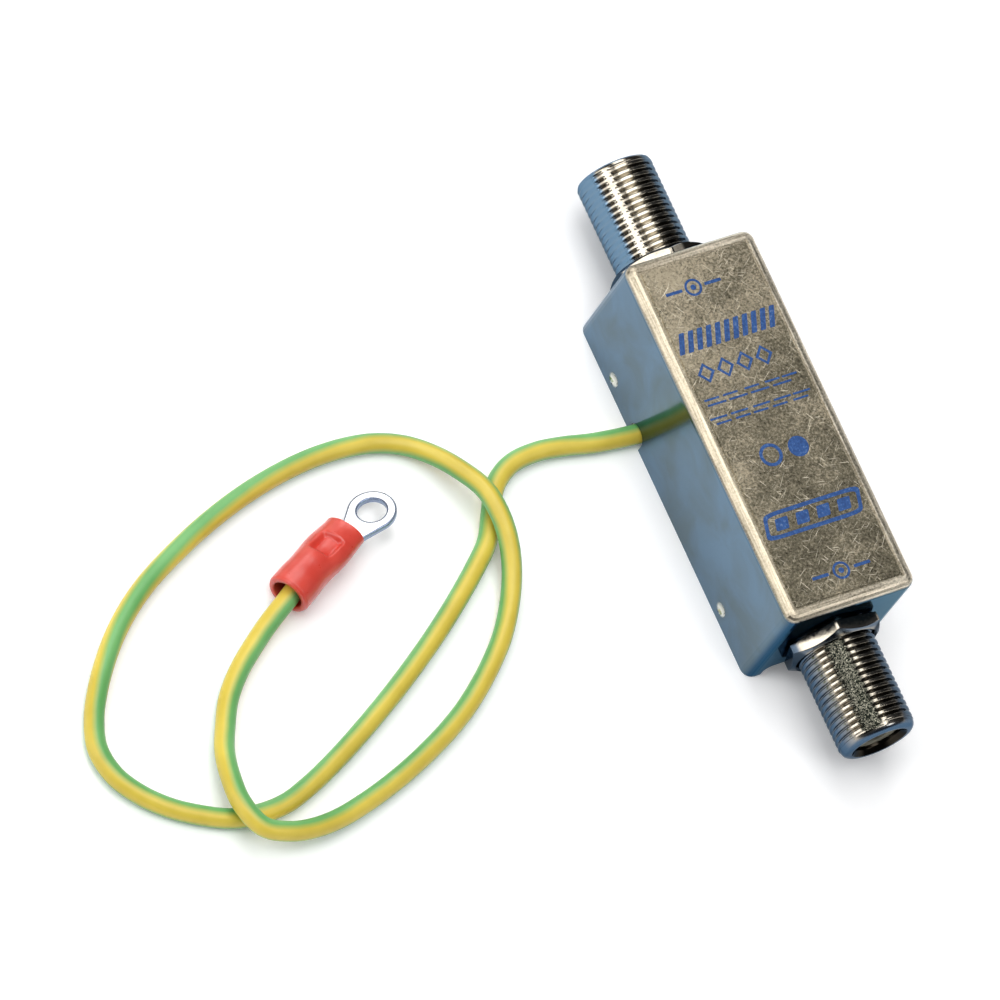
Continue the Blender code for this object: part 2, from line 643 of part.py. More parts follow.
def build_board(collection, cutters):
    """The board, with a hole for every lead."""
    board = add_object("circuit_board", box_mesh(
        (-BOARD_WIDTH / 2, -BOARD_LENGTH / 2, BOARD_BOTTOM),
        (BOARD_WIDTH / 2, BOARD_LENGTH / 2, BOARD_TOP)), collection)
    for number, (x, y, radius) in enumerate(lead_holes()):
        mesh = cylinder_mesh(radius + SEAT, BOARD_THICKNESS + OVERCUT, 12)
        hole = make_cutter(add_object("lead_hole_%d" % number, mesh, cutters, None,
                                      (x, y, (BOARD_TOP + BOARD_BOTTOM) / 2)))
        cut(board, hole)
    finish(board, ("#3E6B4A", 0.45, 0.0))


def lead_holes():
    """Where each lead passes the board, with its radius."""
    tube_x = TUBE_CERAMIC_LENGTH / 2 + SEAT + TUBE_CAP_THICKNESS + TUBE_LEAD_REACH
    choke_y = CHOKE_TURNS * CHOKE_PITCH / 2
    holes = [(side * tube_x, TUBE_PLACE_Y, LEAD_RADIUS) for side in (-1, 1)]
    holes += [(CHOKE_RADIUS, CHOKE_PLACE_Y + end * choke_y, CHOKE_WIRE_RADIUS) for end in (-1, 1)]
    for side in (-1, 1):
        for end in (-1, 1):
            holes.append((side * DISC_PLACE_X, DISC_PLACE_Y + end * DISC_LEG_SPREAD, LEAD_RADIUS))
    return holes


def build_gas_tube(collection):
    """A two-electrode gas discharge tube lying across the board."""
    height = BOARD_TOP + SEAT + TUBE_RADIUS
    across = (0, math.radians(90), 0)
    half = TUBE_CERAMIC_LENGTH / 2
    inner = TUBE_RADIUS - TUBE_CERAMIC_WALL
    ceramic = [(inner, half), (TUBE_RADIUS, half), (TUBE_RADIUS, -half), (inner, -half)]
    finish(turned("gas_tube_ceramic", ceramic, collection, None, 20,
                  (0, TUBE_PLACE_Y, height), across), ("#D9B7B4", 0.4, 0.0))
    for side, label in ((-1, "left"), (1, "right")):
        cap = [(0.0, TUBE_CAP_THICKNESS), (TUBE_RADIUS * 0.9, TUBE_CAP_THICKNESS),
               (TUBE_RADIUS, TUBE_CAP_THICKNESS * 0.6), (TUBE_RADIUS, 0.0), (0.0, 0.0)]
        place = (side * (half + SEAT), TUBE_PLACE_Y, height)
        piece = turned("gas_tube_cap_" + label, cap, collection, None, 20, place,
                       (0, side * math.radians(90), 0))
        finish(piece, NICKEL)
        start = half + 2 * SEAT + TUBE_CAP_THICKNESS
        end = half + SEAT + TUBE_CAP_THICKNESS + TUBE_LEAD_REACH
        bend = 0.7 * (end - start)
        arc = [(end - bend + bend * math.sin(a), height - bend + bend * math.cos(a))
               for a in np.linspace(0.0, math.pi / 2, 6)]
        path = [(start, height)] + arc + [(end, BOARD_BOTTOM - LEAD_BELOW_BOARD)]
        points = [(side * x, TUBE_PLACE_Y, z) for x, z in path]
        finish(as_mesh(wire_piece("gas_tube_lead_" + label, points, LEAD_RADIUS, collection)), TIN)


def build_choke(collection):
    """An open coil of enamelled wire with its two legs through the board."""
    height = BOARD_TOP + SEAT + CHOKE_RADIUS + CHOKE_WIRE_RADIUS
    start = CHOKE_PLACE_Y - CHOKE_TURNS * CHOKE_PITCH / 2
    angles = np.linspace(0.0, 2 * math.pi * CHOKE_TURNS, 8 * CHOKE_TURNS + 1)
    coil = [(CHOKE_RADIUS * math.cos(a), start + CHOKE_PITCH * a / (2 * math.pi),
             height + CHOKE_RADIUS * math.sin(a)) for a in angles]
    low = BOARD_BOTTOM - LEAD_BELOW_BOARD
    first = (CHOKE_RADIUS, coil[0][1], low)
    last = (CHOKE_RADIUS, coil[-1][1], low)
    points = [first] + coil + [last]
    finish(as_mesh(wire_piece("choke_coil", points, CHOKE_WIRE_RADIUS, collection)),
           ("#B5653A", 0.35, 1.0))


def build_capacitors(collection, cutters):
    """Two dipped disc capacitors, each one body with its legs."""
    height = BOARD_TOP + DISC_STANDOFF + DISC_RADIUS
    for side, label in ((-1, "left"), (1, "right")):
        x = side * DISC_PLACE_X
        half = DISC_THICKNESS / 2
        shape = [(0.0, half), (DISC_RADIUS * 0.8, half * 0.85), (DISC_RADIUS * 0.95, half * 0.55),
                 (DISC_RADIUS, 0.0), (DISC_RADIUS * 0.95, -half * 0.55),
                 (DISC_RADIUS * 0.8, -half * 0.85), (0.0, -half)]
        disc = turned("disc_capacitor_" + label, shape, collection, None, 18,
                      (x, DISC_PLACE_Y, height), (0, math.radians(90), 0))
        for end in (-1, 1):
            y = DISC_PLACE_Y + end * DISC_LEG_SPREAD
            low = BOARD_BOTTOM - LEAD_BELOW_BOARD
            leg = make_cutter(add_object(
                "disc_leg", cylinder_mesh(LEAD_RADIUS, height - low, 8), cutters, None,
                (x, y, (height + low) / 2)))
            cut(disc, leg, "UNION")
        finish(disc, ("#C98A2E", 0.5, 0.0))


def build_diodes(collection):
    """Two moulded clamp diodes on the board."""
    for side, label in ((-1, "left"), (1, "right")):
        x = side * DIODE_PLACE_X
        low = (x - DIODE_WIDTH / 2, DIODE_PLACE_Y - DIODE_LENGTH / 2, BOARD_TOP + SEAT)
        high = (x + DIODE_WIDTH / 2, DIODE_PLACE_Y + DIODE_LENGTH / 2,
                BOARD_TOP + SEAT + DIODE_HEIGHT)
        top = high[2]
        mesh = box_mesh(low, high, lambda edge: at_height(edge, top), DIODE_CHAMFER, 1)
        finish(add_object("clamp_diode_" + label, mesh, collection), ("#2B2B2E", 0.5, 0.0))


def build_earth_lead(collection):
    """The lead, its bared ends and the tag it is soldered to inside the tray."""
    points = smooth_path([(x * MM, y * MM, z * MM) for x, y, z in WIRE_ROUTE], WIRE_POINTS)
    points[:, 2] = np.maximum(points[:, 2], WIRE_RADIUS)
    finish(wire_piece("earth_wire", points, WIRE_RADIUS, collection), ("#8FA53C", 0.4, 0.0))
    tag_height = SHEET + SEAT + TAG_THICKNESS / 2
    arc = circle_points(TAG_RADIUS, 24, (0, 0), math.radians(-150), math.radians(300))
    half_width = TAG_TONGUE_WIDTH / 2
    outline = arc + [(-TAG_TONGUE_LENGTH, half_width), (-TAG_TONGUE_LENGTH, -half_width)]
    tag = flat_piece("earth_tag", [outline, circle_points(TAG_HOLE, 20)], TAG_THICKNESS,
                     collection, None, (TAG_PLACE_X, TAG_PLACE_Y, tag_height))
    finish(as_mesh(tag), TIN)
    above_tag = tag_height + TAG_THICKNESS / 2 + SEAT + CONDUCTOR_RADIUS
    start = Vector(points[0])
    away = (start - Vector(points[1])).normalized()
    first = start + away * SEAT
    soldered = TAG_PLACE_X - TAG_RADIUS
    route = [first, first + away * CONDUCTOR_STRAIGHT,
             (soldered - CONDUCTOR_RAMP, TAG_PLACE_Y, above_tag + CONDUCTOR_LIFT),
             (soldered, TAG_PLACE_Y, above_tag), (TAG_PLACE_X, TAG_PLACE_Y, above_tag)]
    finish(wire_piece("earth_conductor", smooth_path(route, 14), CONDUCTOR_RADIUS, collection),
           ("#C9C3B4", 0.35, 1.0))


def sleeve_section(place):
    """Half width, half height, sag and wall of the terminal's sleeve at a distance along it."""
    mouth = SLEEVE_RADIUS - SLEEVE_ROUND / 2
    before_waist = WAIST_PLACE / 2
    half_width = eased(place, [
        (0, mouth), (SLEEVE_ROUND, SLEEVE_RADIUS), (before_waist, SLEEVE_RADIUS),
        (WAIST_PLACE, WAIST_RADIUS), (CRIMP_PLACE, CRIMP_HALF_WIDTH),
        (SLEEVE_LENGTH, SLEEVE_END_HALF_WIDTH)])
    half_height = eased(place, [
        (0, mouth), (SLEEVE_ROUND, SLEEVE_RADIUS), (before_waist, SLEEVE_RADIUS),
        (WAIST_PLACE, WAIST_RADIUS), (CRIMP_PLACE, CRIMP_HALF_HEIGHT),
        (SLEEVE_LENGTH, SLEEVE_END_HALF_HEIGHT)])
    sag = eased(place, [(WAIST_PLACE, 0), (SLEEVE_LENGTH, SLEEVE_END_SAG)])
    wall = eased(place, [(0, SLEEVE_WALL - SLEEVE_ROUND / 2), (SLEEVE_ROUND, SLEEVE_WALL),
                         (CRIMP_PLACE, SLEEVE_WALL), (SLEEVE_LENGTH, SLEEVE_FRONT_WALL)])
    return half_width, half_height, sag, wall


def build_sleeve(frame, collection):
    """The insulating sleeve: a loft from a round mouth through a waist to a flattened crimp."""
    sides = 20
    shares = np.concatenate([[0.0, 0.012, 0.03], np.linspace(0.12, 0.9, 10), [0.96, 1.0]])
    angles = np.arange(sides) * 2 * math.pi / sides
    outer, inner = [], []
    for place in shares * SLEEVE_LENGTH:
        half_width, half_height, sag, wall = sleeve_section(place)
        along = math.exp(-((place - DENT_PLACE) / DENT_HALF_LENGTH) ** 4)
        for angle in angles:
            y = half_width * math.cos(angle)
            z = half_height * math.sin(angle)
            across = math.exp(-((y - DENT_SIDE) / DENT_HALF_WIDTH) ** 4) if z > 0 else 0.0
            outer.append((place, y, z - sag - DENT_DEPTH * along * across))
            inner.append((place, (half_width - wall) * math.cos(angle),
                          (half_height - wall) * math.sin(angle) - sag))
    points = outer + inner
    step = len(outer)
    faces = []
    for i in range(len(shares) - 1):
        for j in range(sides):
            a = i * sides + j
            b = i * sides + (j + 1) % sides
            faces.append((a, b, b + sides, a + sides))
            faces.append((step + a, step + a + sides, step + b + sides, step + b))
    last = (len(shares) - 1) * sides
    for j in range(sides):
        k = (j + 1) % sides
        faces.append((j, step + j, step + k, k))
        faces.append((last + j, last + k, step + last + k, step + last + j))
    mesh = bpy.data.meshes.new("terminal_sleeve")
    mesh.from_pydata(points, [], faces)
    shape = bmesh.new()
    shape.from_mesh(mesh)
    bmesh.ops.recalc_face_normals(shape, faces=shape.faces)
    shape.to_mesh(mesh)
    shape.free()
    finish(add_object("terminal_sleeve", mesh, collection, frame), ("#E0503C", 0.35, 0.0))


def build_ring_tongue(frame, collection, cutters):
    """The terminal's metal: a ring and neck blanked from strip, with a barrel rolled at its end."""
    barrel_end = BARREL_START + BARREL_LENGTH
    neck = SLEEVE_LENGTH - SEAT
    reach = RING_PLACE - neck
    slant = math.hypot(reach, NECK_HALF_WIDTH)
    open_angle = math.acos(RING_RADIUS / slant) + math.atan2(NECK_HALF_WIDTH, reach)
    arc = circle_points(RING_RADIUS, 40, (RING_PLACE, TONGUE_SIDE), math.pi + open_angle,
                        2 * math.pi - 2 * open_angle)
    root = barrel_end - TONGUE_ROOT_LAP
    root_half_width = BARREL_RADIUS * 0.6
    outline = arc + [(neck, NECK_HALF_WIDTH), (root, root_half_width), (root, -root_half_width),
                     (neck, -NECK_HALF_WIDTH)]
    hole = circle_points(RING_HOLE, 32, (RING_PLACE, TONGUE_SIDE))
    tongue = flat_piece("ring_tongue", [outline, hole], TONGUE_THICKNESS, collection, frame,
                        (0, 0, -TONGUE_DROP))
    tongue = as_mesh(tongue)
    inner = BARREL_RADIUS - BARREL_WALL
    profile = [(inner, barrel_end), (BARREL_RADIUS, barrel_end), (BARREL_RADIUS, BARREL_START),
               (inner, BARREL_START)]
    barrel = turned("barrel_roll", profile, cutters, frame, 20, (0, 0, 0), (0, math.radians(90), 0))
    cut(tongue, make_cutter(barrel), "UNION")
    finish(tongue, ("#C9CCD0", 0.25, 1.0))
    bared = BARREL_START - CONDUCTOR_STRAIGHT
    strands = [(place, 0.0, 0.0) for place in np.linspace(bared, root - SEAT, 4)]
    finish(wire_piece("terminal_conductor", strands, CONDUCTOR_RADIUS * 0.8, collection, frame),
           ("#C9C3B4", 0.35, 1.0))


def main():
    clear_scene()
    model = new_collection("surge_protector")
    cutters = new_collection("cutters")
    bore = make_cutter(add_object("socket_bore", cylinder_mesh(HOLE_RADIUS, CAN_LENGTH + OVERCUT, 48),
                                  cutters, None, (0, 0, AXIS_HEIGHT), (math.radians(90), 0, 0)))
    notch = arch_cutter("wire_notch", -CAN_WIDTH / 2 - OVERCUT, -CAN_WIDTH / 2 + SHEET + WIRE_SLOT_DEPTH,
                        WIRE_EXIT_Y, 2 * WIRE_RADIUS + SEAT, 2 * (WIRE_RADIUS + SEAT), cutters)
    build_can(model, cutters, bore, notch)
    build_tray(model, cutters, bore, notch)
    ports = (("line", 1, LINE_NUT_TURN, LINE_LIP),
             ("equipment", -1, EQUIPMENT_NUT_TURN, EQUIPMENT_LIP))
    for label, end, turn, lip_length in ports:
        port = add_object(label + "_port", None, model, None,
                          (0, end * CAN_HALF_LENGTH, AXIS_HEIGHT), (-end * math.radians(90), 0, 0))
        build_socket(label, port, lip_length, model, cutters)
        build_nut(label, port, turn, model, cutters)
    build_board(model, cutters)
    build_gas_tube(model)
    build_choke(model)
    build_capacitors(model, cutters)
    build_diodes(model)
    build_earth_lead(model)
    terminal = add_object("terminal_frame", None, model, None, (TERMINAL_X, TERMINAL_Y, TERMINAL_Z),
                          (TERMINAL_ROLL, 0, TERMINAL_HEADING))
    build_sleeve(terminal, model)
    build_ring_tongue(terminal, model, cutters)


main()
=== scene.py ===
"""Looks of an inline surge protector for a coaxial line, built on the packed model.

Frame: origin under the middle of the housing, on the table. +X is across the housing,
+Y runs along it to the line socket, +Z is up. Lengths are in metres, patterns in mm.
"""

import math

import bpy
import numpy as np
from mathutils import Euler, Matrix, Vector


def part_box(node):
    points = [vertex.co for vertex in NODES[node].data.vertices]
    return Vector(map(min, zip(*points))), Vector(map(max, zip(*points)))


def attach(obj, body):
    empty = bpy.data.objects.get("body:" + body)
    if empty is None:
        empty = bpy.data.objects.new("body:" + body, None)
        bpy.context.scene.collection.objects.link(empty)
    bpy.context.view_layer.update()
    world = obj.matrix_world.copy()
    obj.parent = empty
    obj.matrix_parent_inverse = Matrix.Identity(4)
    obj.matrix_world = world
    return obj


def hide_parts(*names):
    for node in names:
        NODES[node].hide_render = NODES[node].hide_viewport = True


bl_info = {
    "name": "Coaxial surge protector",
    "version": (1, 0, 0),
    "blender": (4, 5, 0),
    "location": "View3D > Sidebar > Surge protector",
    "description": "Builds the looks of an inline surge protector with its earth lead",
    "category": "Object",
}

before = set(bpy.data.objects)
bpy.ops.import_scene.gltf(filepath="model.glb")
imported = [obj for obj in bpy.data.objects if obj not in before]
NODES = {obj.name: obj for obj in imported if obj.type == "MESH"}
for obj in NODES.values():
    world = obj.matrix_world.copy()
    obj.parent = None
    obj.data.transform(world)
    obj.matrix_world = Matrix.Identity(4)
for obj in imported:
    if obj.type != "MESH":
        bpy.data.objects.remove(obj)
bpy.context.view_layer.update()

MM = 0.001
TURN = 2 * math.pi

# The can's upper corner at the line socket, and the height of the sockets' axis
CAN_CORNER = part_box("housing_can")[1]
CAN_TOP, CAN_END, AXIS_HEIGHT = CAN_CORNER.z, CAN_CORNER.y, 7.35 * MM

# Camera, as fitted to the photograph
CAMERA_AZIMUTH = math.radians(-58.415)
CAMERA_ELEVATION = math.radians(60.323)
CAMERA_ROLL = math.radians(37.075)
CAMERA_DISTANCE = 1500 * MM
CAMERA_RIGHT = -26.386 * MM
CAMERA_UP = -2.237 * MM
CAMERA_LENS = 461.41

# Route of the earth lead's centre, from inside the housing to inside the terminal, in mm
LEAD_ROUTE = [
    (-3.9, 8.3, 2.95), (-5.6, 8.3, 2.15), (-7.3, 8.3, 1.42), (-9.1, 8.4, 1.2),
    (-13.7, 8.85, 1.2), (-18.3, 9.7, 1.2), (-22.1, 10.0, 1.2), (-25.1, 9.5, 1.2),
    (-27.5, 8.2, 1.2), (-29.5, 5.5, 1.2), (-31.7, 1.8, 1.2), (-36.0, -2.1, 1.2),
    (-43.1, -7.4, 1.2), (-51.8, -12.9, 1.2), (-61.1, -17.9, 1.2), (-66.5, -20.2, 1.2),
    (-70.3, -21.2, 1.2), (-73.7, -21.1, 1.2), (-76.3, -20.6, 1.2), (-79.6, -19.1, 1.2),
    (-83.1, -16.8, 1.2), (-85.9, -13.8, 1.2), (-87.6, -10.3, 1.2), (-87.6, -7.1, 1.2),
    (-86.2, -3.7, 1.2), (-83.5, 0.3, 1.2), (-79.5, 4.7, 1.2), (-74.4, 8.6, 1.2),
    (-67.6, 12.1, 1.2), (-60.7, 14.8, 1.2), (-54.0, 16.6, 1.2), (-47.3, 17.5, 1.2),
    (-41.3, 17.2, 1.2), (-37.5, 16.0, 1.35), (-34.5, 13.6, 2.0), (-32.1, 9.9, 3.2),
    (-30.6, 6.3, 3.9), (-30.3, 2.5, 3.8), (-30.7, -1.3, 2.9), (-32.0, -5.0, 1.8),
    (-35.0, -9.6, 1.2), (-39.6, -14.0, 1.2), (-44.8, -17.7, 1.2), (-51.8, -21.1, 1.2),
    (-58.7, -23.5, 1.25), (-65.1, -24.9, 1.7), (-70.1, -24.9, 2.8), (-73.6, -23.8, 3.6),
    (-75.1, -21.4, 3.9), (-75.2, -18.1, 3.6), (-74.2, -13.9, 2.5), (-72.1, -10.0, 1.5),
    (-69.8, -6.5, 1.2), (-66.8, -3.6, 1.2), (-62.9, -0.75, 1.35), (-60.6, 0.8, 1.85),
    (-58.7, 1.85, 2.3), (-57.2, 2.75, 2.55), (-55.8, 3.6, 2.65),
]
LEAD_STATIONS, LEAD_RINGS = 76, 460
# The two green stripes lie opposite each other and turn as the lead twists. Middle of one of
# them along the lead: (share of the length, degrees from straight up towards the right-hand
# side of someone walking along the lead from the housing)
STRIPE_TURNS = [
    (0.0, 45), (0.037, 46), (0.06, 63), (0.076, 67), (0.115, 83), (0.15, 82), (0.18, 66),
    (0.25, 67), (0.28, 51), (0.34, 49), (0.37, 29), (0.389, 28), (0.409, 19), (0.43, 2),
    (0.448, -2), (0.487, -23), (0.526, -39), (0.565, -52), (0.585, -66), (0.62, -76),
    (0.65, -68), (0.683, -88), (0.702, -99), (0.741, -117), (0.78, -120), (0.82, -128),
    (0.859, -138), (0.885, -153), (0.917, -142), (0.957, -137), (1.0, -130),
]

# Terminal frame: starts at the sleeve's open end and runs along its axis
TERMINAL_PLACE = (-58.75 * MM, 2.15 * MM, 2.72 * MM)
TERMINAL_TURN = (math.radians(-27), 0.0, math.radians(28.3))


def linear(value):
    """Linear RGBA of an sRGB hex colour. A colour property is linear already."""
    if not isinstance(value, str):
        return tuple(value)
    parts = np.array([int(value[i:i + 2], 16) for i in (1, 3, 5)]) / 255
    parts = np.where(parts <= 0.04045, parts / 12.92, ((parts + 0.055) / 1.055) ** 2.4)
    return (*parts.tolist(), 1.0)


def colour_property(name, description, value):
    """A colour that the user can change, with its default as sRGB hex."""
    return bpy.props.FloatVectorProperty(
        name=name, description=description, subtype="COLOR", size=4, min=0, max=1,
        default=linear(value))


def size_property(name, description, value_mm):
    """A length that the user can change, with its default in mm."""
    return bpy.props.FloatProperty(
        name=name, description=description, subtype="DISTANCE", unit="LENGTH",
        default=value_mm * MM, min=0, precision=5)


class StageLook(bpy.types.PropertyGroup):
    """Floor, lamps and surroundings."""

    floor: colour_property("Floor", "Colour of the table under the protector", "#FAFAFA")
    ceiling: colour_property("Ceiling", "Colour of the unlit ceiling above the lamps", "#44464A")
    wall: colour_property("Surroundings", "Colour of the pale walls round the table", "#FFFFFF")
    lamp_glow: bpy.props.FloatProperty(
        name="Lamp glow", description="Brightness of the soft boxes, where 1 is white paper",
        default=3.3, min=0)
    backdrop_lift: bpy.props.FloatProperty(
        name="Backdrop lift", description="Glow that makes the seen floor a white backdrop",
        default=0.14, min=0)


class HousingLook(bpy.types.PropertyGroup):
    """Tinplate can and tray."""

    # Top: the tin's tone, warmer partly as a painted reflection
    top: colour_property("Top", "Warm, handled tin on the top face", "#B4A890")
    top_dark: colour_property("Top grain", "Darker grain in the top face", "#4B463B")
    # Walls: painted blue reflection of the surface below the can
    wall: colour_property("Walls", "Cold, bright tin on the walls", "#58748A")
    ink: colour_property("Ink", "Printing ink on the top face", "#27528F")


class SocketLook(bpy.types.PropertyGroup):
    """Threaded sockets and nuts."""

    pitch: size_property("Pitch", "Distance from one thread to the next, 32 to the inch", 0.79375)
    depth: size_property("Thread depth", "Height of the thread from root to crest", 0.38)
    nickel: colour_property("Nickel", "Bright nickel plating", "#C2BAAA")
    # Painted blue reflection on the line socket's low sides and end face
    painted_blue_reflection: colour_property("Cool sides", "Bluish plating low on the line socket", "#66839B")
    # The same painted blue reflection, darker as painted shade, on the equipment socket and nuts
    painted_blue_reflection_in_shade: colour_property("Dark cool sides", "The same on the equipment socket", "#4C6278")
    # Grime in the bottom of the threads, also painted shade
    grime_and_shade: colour_property("Grime", "Dark film in the bottom of the threads", "#3A3328")


class LeadLook(bpy.types.PropertyGroup):
    """Earth lead."""

    diameter: size_property("Diameter", "Outer diameter of the insulation", 2.4)
    green: colour_property("Green", "Green stripe", "#76B76C")
    yellow: colour_property("Yellow", "Yellow stripe", "#DEC74C")


class TerminalLook(bpy.types.PropertyGroup):
    """Ring terminal and its sleeve."""

    vinyl: colour_property("Sleeve", "Red vinyl of the sleeve", "#DA4C3E")
    tin: colour_property("Ring", "Tinned copper of the ring", "#F2F3F5")


def add(tree, kind, links=(), stops=(), **settings):
    """Adds a node, sets its properties, ramp stops and sockets, and links what it is given."""
    made = tree.nodes.new("ShaderNode" + kind)
    for name, value in settings.items():
        setattr(made, name, value)
    for place, colour in stops[2:]:
        made.color_ramp.elements.new(place)
    for element, (place, colour) in zip(made.color_ramp.elements if stops else (), stops):
        element.position, element.color = place, colour
    for socket, value in dict(links).items():
        if isinstance(value, bpy.types.NodeSocket):
            tree.links.new(value, made.inputs[socket])
        else:
            made.inputs[socket].default_value = value
    return made


def start_material(name, **shader_settings):
    """A material with a Principled shader, and the place on the piece in mm."""
    material = bpy.data.materials.new(name)
    material.use_nodes = True
    tree = material.node_tree
    tree.nodes.clear()
    shader = add(tree, "BsdfPrincipled",
                 {setting.replace("_", " "): value for setting, value in shader_settings.items()})
    add(tree, "OutputMaterial", {"Surface": shader.outputs[0]})
    place = add(tree, "VectorMath", {0: add(tree, "TexCoord").outputs["Object"], "Scale": 1 / MM},
                operation="SCALE")
    return material, tree, shader, place.outputs[0]


def noise(tree, place, scale, detail, **more):
    """Soft noise over a place in mm, with about this many waves to the mm."""
    links = {"Vector": place, "Scale": scale, "Detail": detail, **more}
    return add(tree, "TexNoise", links).outputs["Fac"]


def calculate(tree, operation, *values):
    """The result of one operation on the values."""
    return add(tree, "Math", dict(enumerate(values)), operation=operation).outputs[0]


def spread(tree, value, start, end, low=0.0, high=1.0, smooth=False):
    """Carries a value from the stretch start..end to low..high, held outside."""
    return add(tree, "MapRange", {"Value": value, "From Min": start, "From Max": end,
                                  "To Min": low, "To Max": high},
               interpolation_type="SMOOTHSTEP" if smooth else "LINEAR").outputs[0]


def ramp(tree, value, *stops):
    """A colour that follows a value through (place, colour) stops."""
    stops = [(place, linear(colour)) for place, colour in stops]
    return add(tree, "ValToRGB", {"Fac": value}, stops).outputs["Color"]


def blend(tree, share, first, second):
    """The first colour, with a share of the second over it."""
    first, second = (tone if isinstance(tone, bpy.types.NodeSocket) else linear(tone)
                     for tone in (first, second))
    return add(tree, "Mix", {"Factor": share, 6: first, 7: second}, data_type="RGBA").outputs[2]


def attribute(tree, name):
    """A number that the mesh holds for each point."""
    return add(tree, "Attribute", attribute_name=name).outputs["Fac"]


def stretched(tree, place, lengths, turn=0.0):
    """The place counted in the given lengths in mm, along axes turned about z."""
    return add(tree, "Mapping", {"Vector": place, "Rotation": (0, 0, turn), "Scale": lengths},
               vector_type="TEXTURE").outputs[0]


def apply_finish(tree, shader, colour, rough, height, strength, relief_mm):
    """Gives a shader its colour, its roughness if that varies, and a fine relief."""
    tree.links.new(colour, shader.inputs["Base Color"])
    if rough:
        tree.links.new(rough, shader.inputs["Roughness"])
    bump = add(tree, "Bump", {"Height": height, "Strength": strength, "Distance": relief_mm * MM})
    tree.links.new(bump.outputs[0], shader.inputs["Normal"])


def surface(name, points, around=None, along=None, wrap_rows=True, wrap_columns=True,
            values=None):
    """Mesh of quads through a grid of points.

    Rows follow the first parameter and columns the second. around and along give the UV of
    each column and row in the grid, one more than there are points where it wraps round.
    values are named numbers for each point.
    """
    rows, columns = points.shape[:2]
    r, c = np.meshgrid(np.arange(rows if wrap_rows else rows - 1),
                       np.arange(columns if wrap_columns else columns - 1), indexing="ij")
    steps = [(0, 0), (0, 1), (1, 1), (1, 0)]
    quads = np.stack([((r + i) % rows) * columns + (c + j) % columns for i, j in steps], axis=-1)
    quads = quads.reshape(-1, 4)
    mesh = bpy.data.meshes.new(name)
    mesh.vertices.add(rows * columns)
    mesh.vertices.foreach_set("co", points.astype(np.float32).ravel())
    mesh.loops.add(quads.size)
    mesh.loops.foreach_set("vertex_index", quads.astype(np.int32).ravel())
    mesh.polygons.add(len(quads))
    mesh.polygons.foreach_set("loop_start", np.arange(0, quads.size, 4, dtype=np.int32))
    mesh.polygons.foreach_set("use_smooth", np.ones(len(quads), dtype=bool))
    mesh.update(calc_edges=True)
    if around is not None:
        around, along = (np.broadcast_to(place, (rows + wrap_rows, columns + wrap_columns))
                         for place in (around, along))
        uv = np.stack([np.stack([around[r + i, c + j], along[r + i, c + j]], axis=-1)
                       for i, j in steps], axis=2)
        mesh.uv_layers.new(name="UVMap").data.foreach_set("uv", uv.astype(np.float32).ravel())
    for label, numbers in (values or {}).items():
        layer = mesh.attributes.new(label, "FLOAT", "POINT")
        layer.data.foreach_set("value", np.asarray(numbers, np.float32).ravel())
    return mesh


def new_object(name, data):
    """An object in the scene, at the origin."""
    made = bpy.data.objects.new(name, data)
    bpy.context.scene.collection.objects.link(made)
    return made


def add_piece(name, mesh, material, replaced=(), sharp=None):
    """A piece of the protector, riding its body and standing for the CAD nodes it replaces."""
    piece = new_object(name, mesh)
    mesh.materials.append(material)
    if sharp:
        mesh.set_sharp_from_angle(angle=math.radians(sharp))
    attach(piece, "root")
    if replaced:
        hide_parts(*replaced)
    return piece


def dress(node, material):
    """Gives a CAD node its material."""
    NODES[node].material_slots[0].material = material


def reach_along(points, power=1.0):
    """Distance along a run of points, with each step raised to a power."""
    steps = np.linalg.norm(np.diff(points, axis=0), axis=1) ** power
    return np.concatenate([[0.0], np.cumsum(steps)])


def smooth_path(points, count):
    """Evenly spaced points on a centripetal Catmull-Rom curve through the given points.

    Each of the curve's three rounds mixes neighbours over the spans between these knots.
    """
    given = np.array(points, dtype=float)
    given = np.vstack([2 * given[0] - given[1], given, 2 * given[-1] - given[-2]])
    knots = reach_along(given, 0.5)
    rounds = [[(0, 1), (1, 2), (2, 3)], [(0, 2), (1, 3)], [(1, 2)]]
    fine = []
    for i in range(1, len(given) - 2):
        t = np.linspace(knots[i], knots[i + 1], 16, endpoint=False)[:, None]
        near, mixed = knots[i - 1:i + 3], given[i - 1:i + 3]
        for spans in rounds:
            mixed = [(near[b] - t) / (near[b] - near[a]) * first
                     + (t - near[a]) / (near[b] - near[a]) * second
                     for (a, b), first, second in zip(spans, mixed, mixed[1:])]
        fine.append(mixed[0])
    fine = np.vstack(fine + [given[-2:-1]])
    reach = reach_along(fine)
    even = np.linspace(0.0, reach[-1], count)
    return np.stack([np.interp(even, reach, fine[:, axis]) for axis in range(3)], axis=1)


def eased(value, keys):
    """Values that ease with zero slope between (place, size) keys: 3t^2 - 2t^3 in each span."""
    places, sizes = np.array(keys, dtype=float).T
    value = np.clip(value, places[0], places[-1])
    span = np.clip(np.searchsorted(places, value, side="right") - 1, 0, len(places) - 2)
    share = (value - places[span]) / (places[span + 1] - places[span])
    return sizes[span] + (sizes[span + 1] - sizes[span]) * (3 - 2 * share) * share ** 2


def port_frame(label):
    """Matrix that takes a socket's own frame, z outwards from the can's end, to the row frame."""
    side = 1 if label == "line" else -1
    turn = Euler((math.radians(-90 * side), 0, 0)).to_matrix().to_4x4()
    return Matrix.Translation((0, side * CAN_END, AXIS_HEIGHT)) @ turn


def terminal_frame():
    """Matrix that takes the terminal's frame, x along the sleeve, to the row frame."""
    return Matrix.Translation(TERMINAL_PLACE) @ Euler(TERMINAL_TURN).to_matrix().to_4x4()


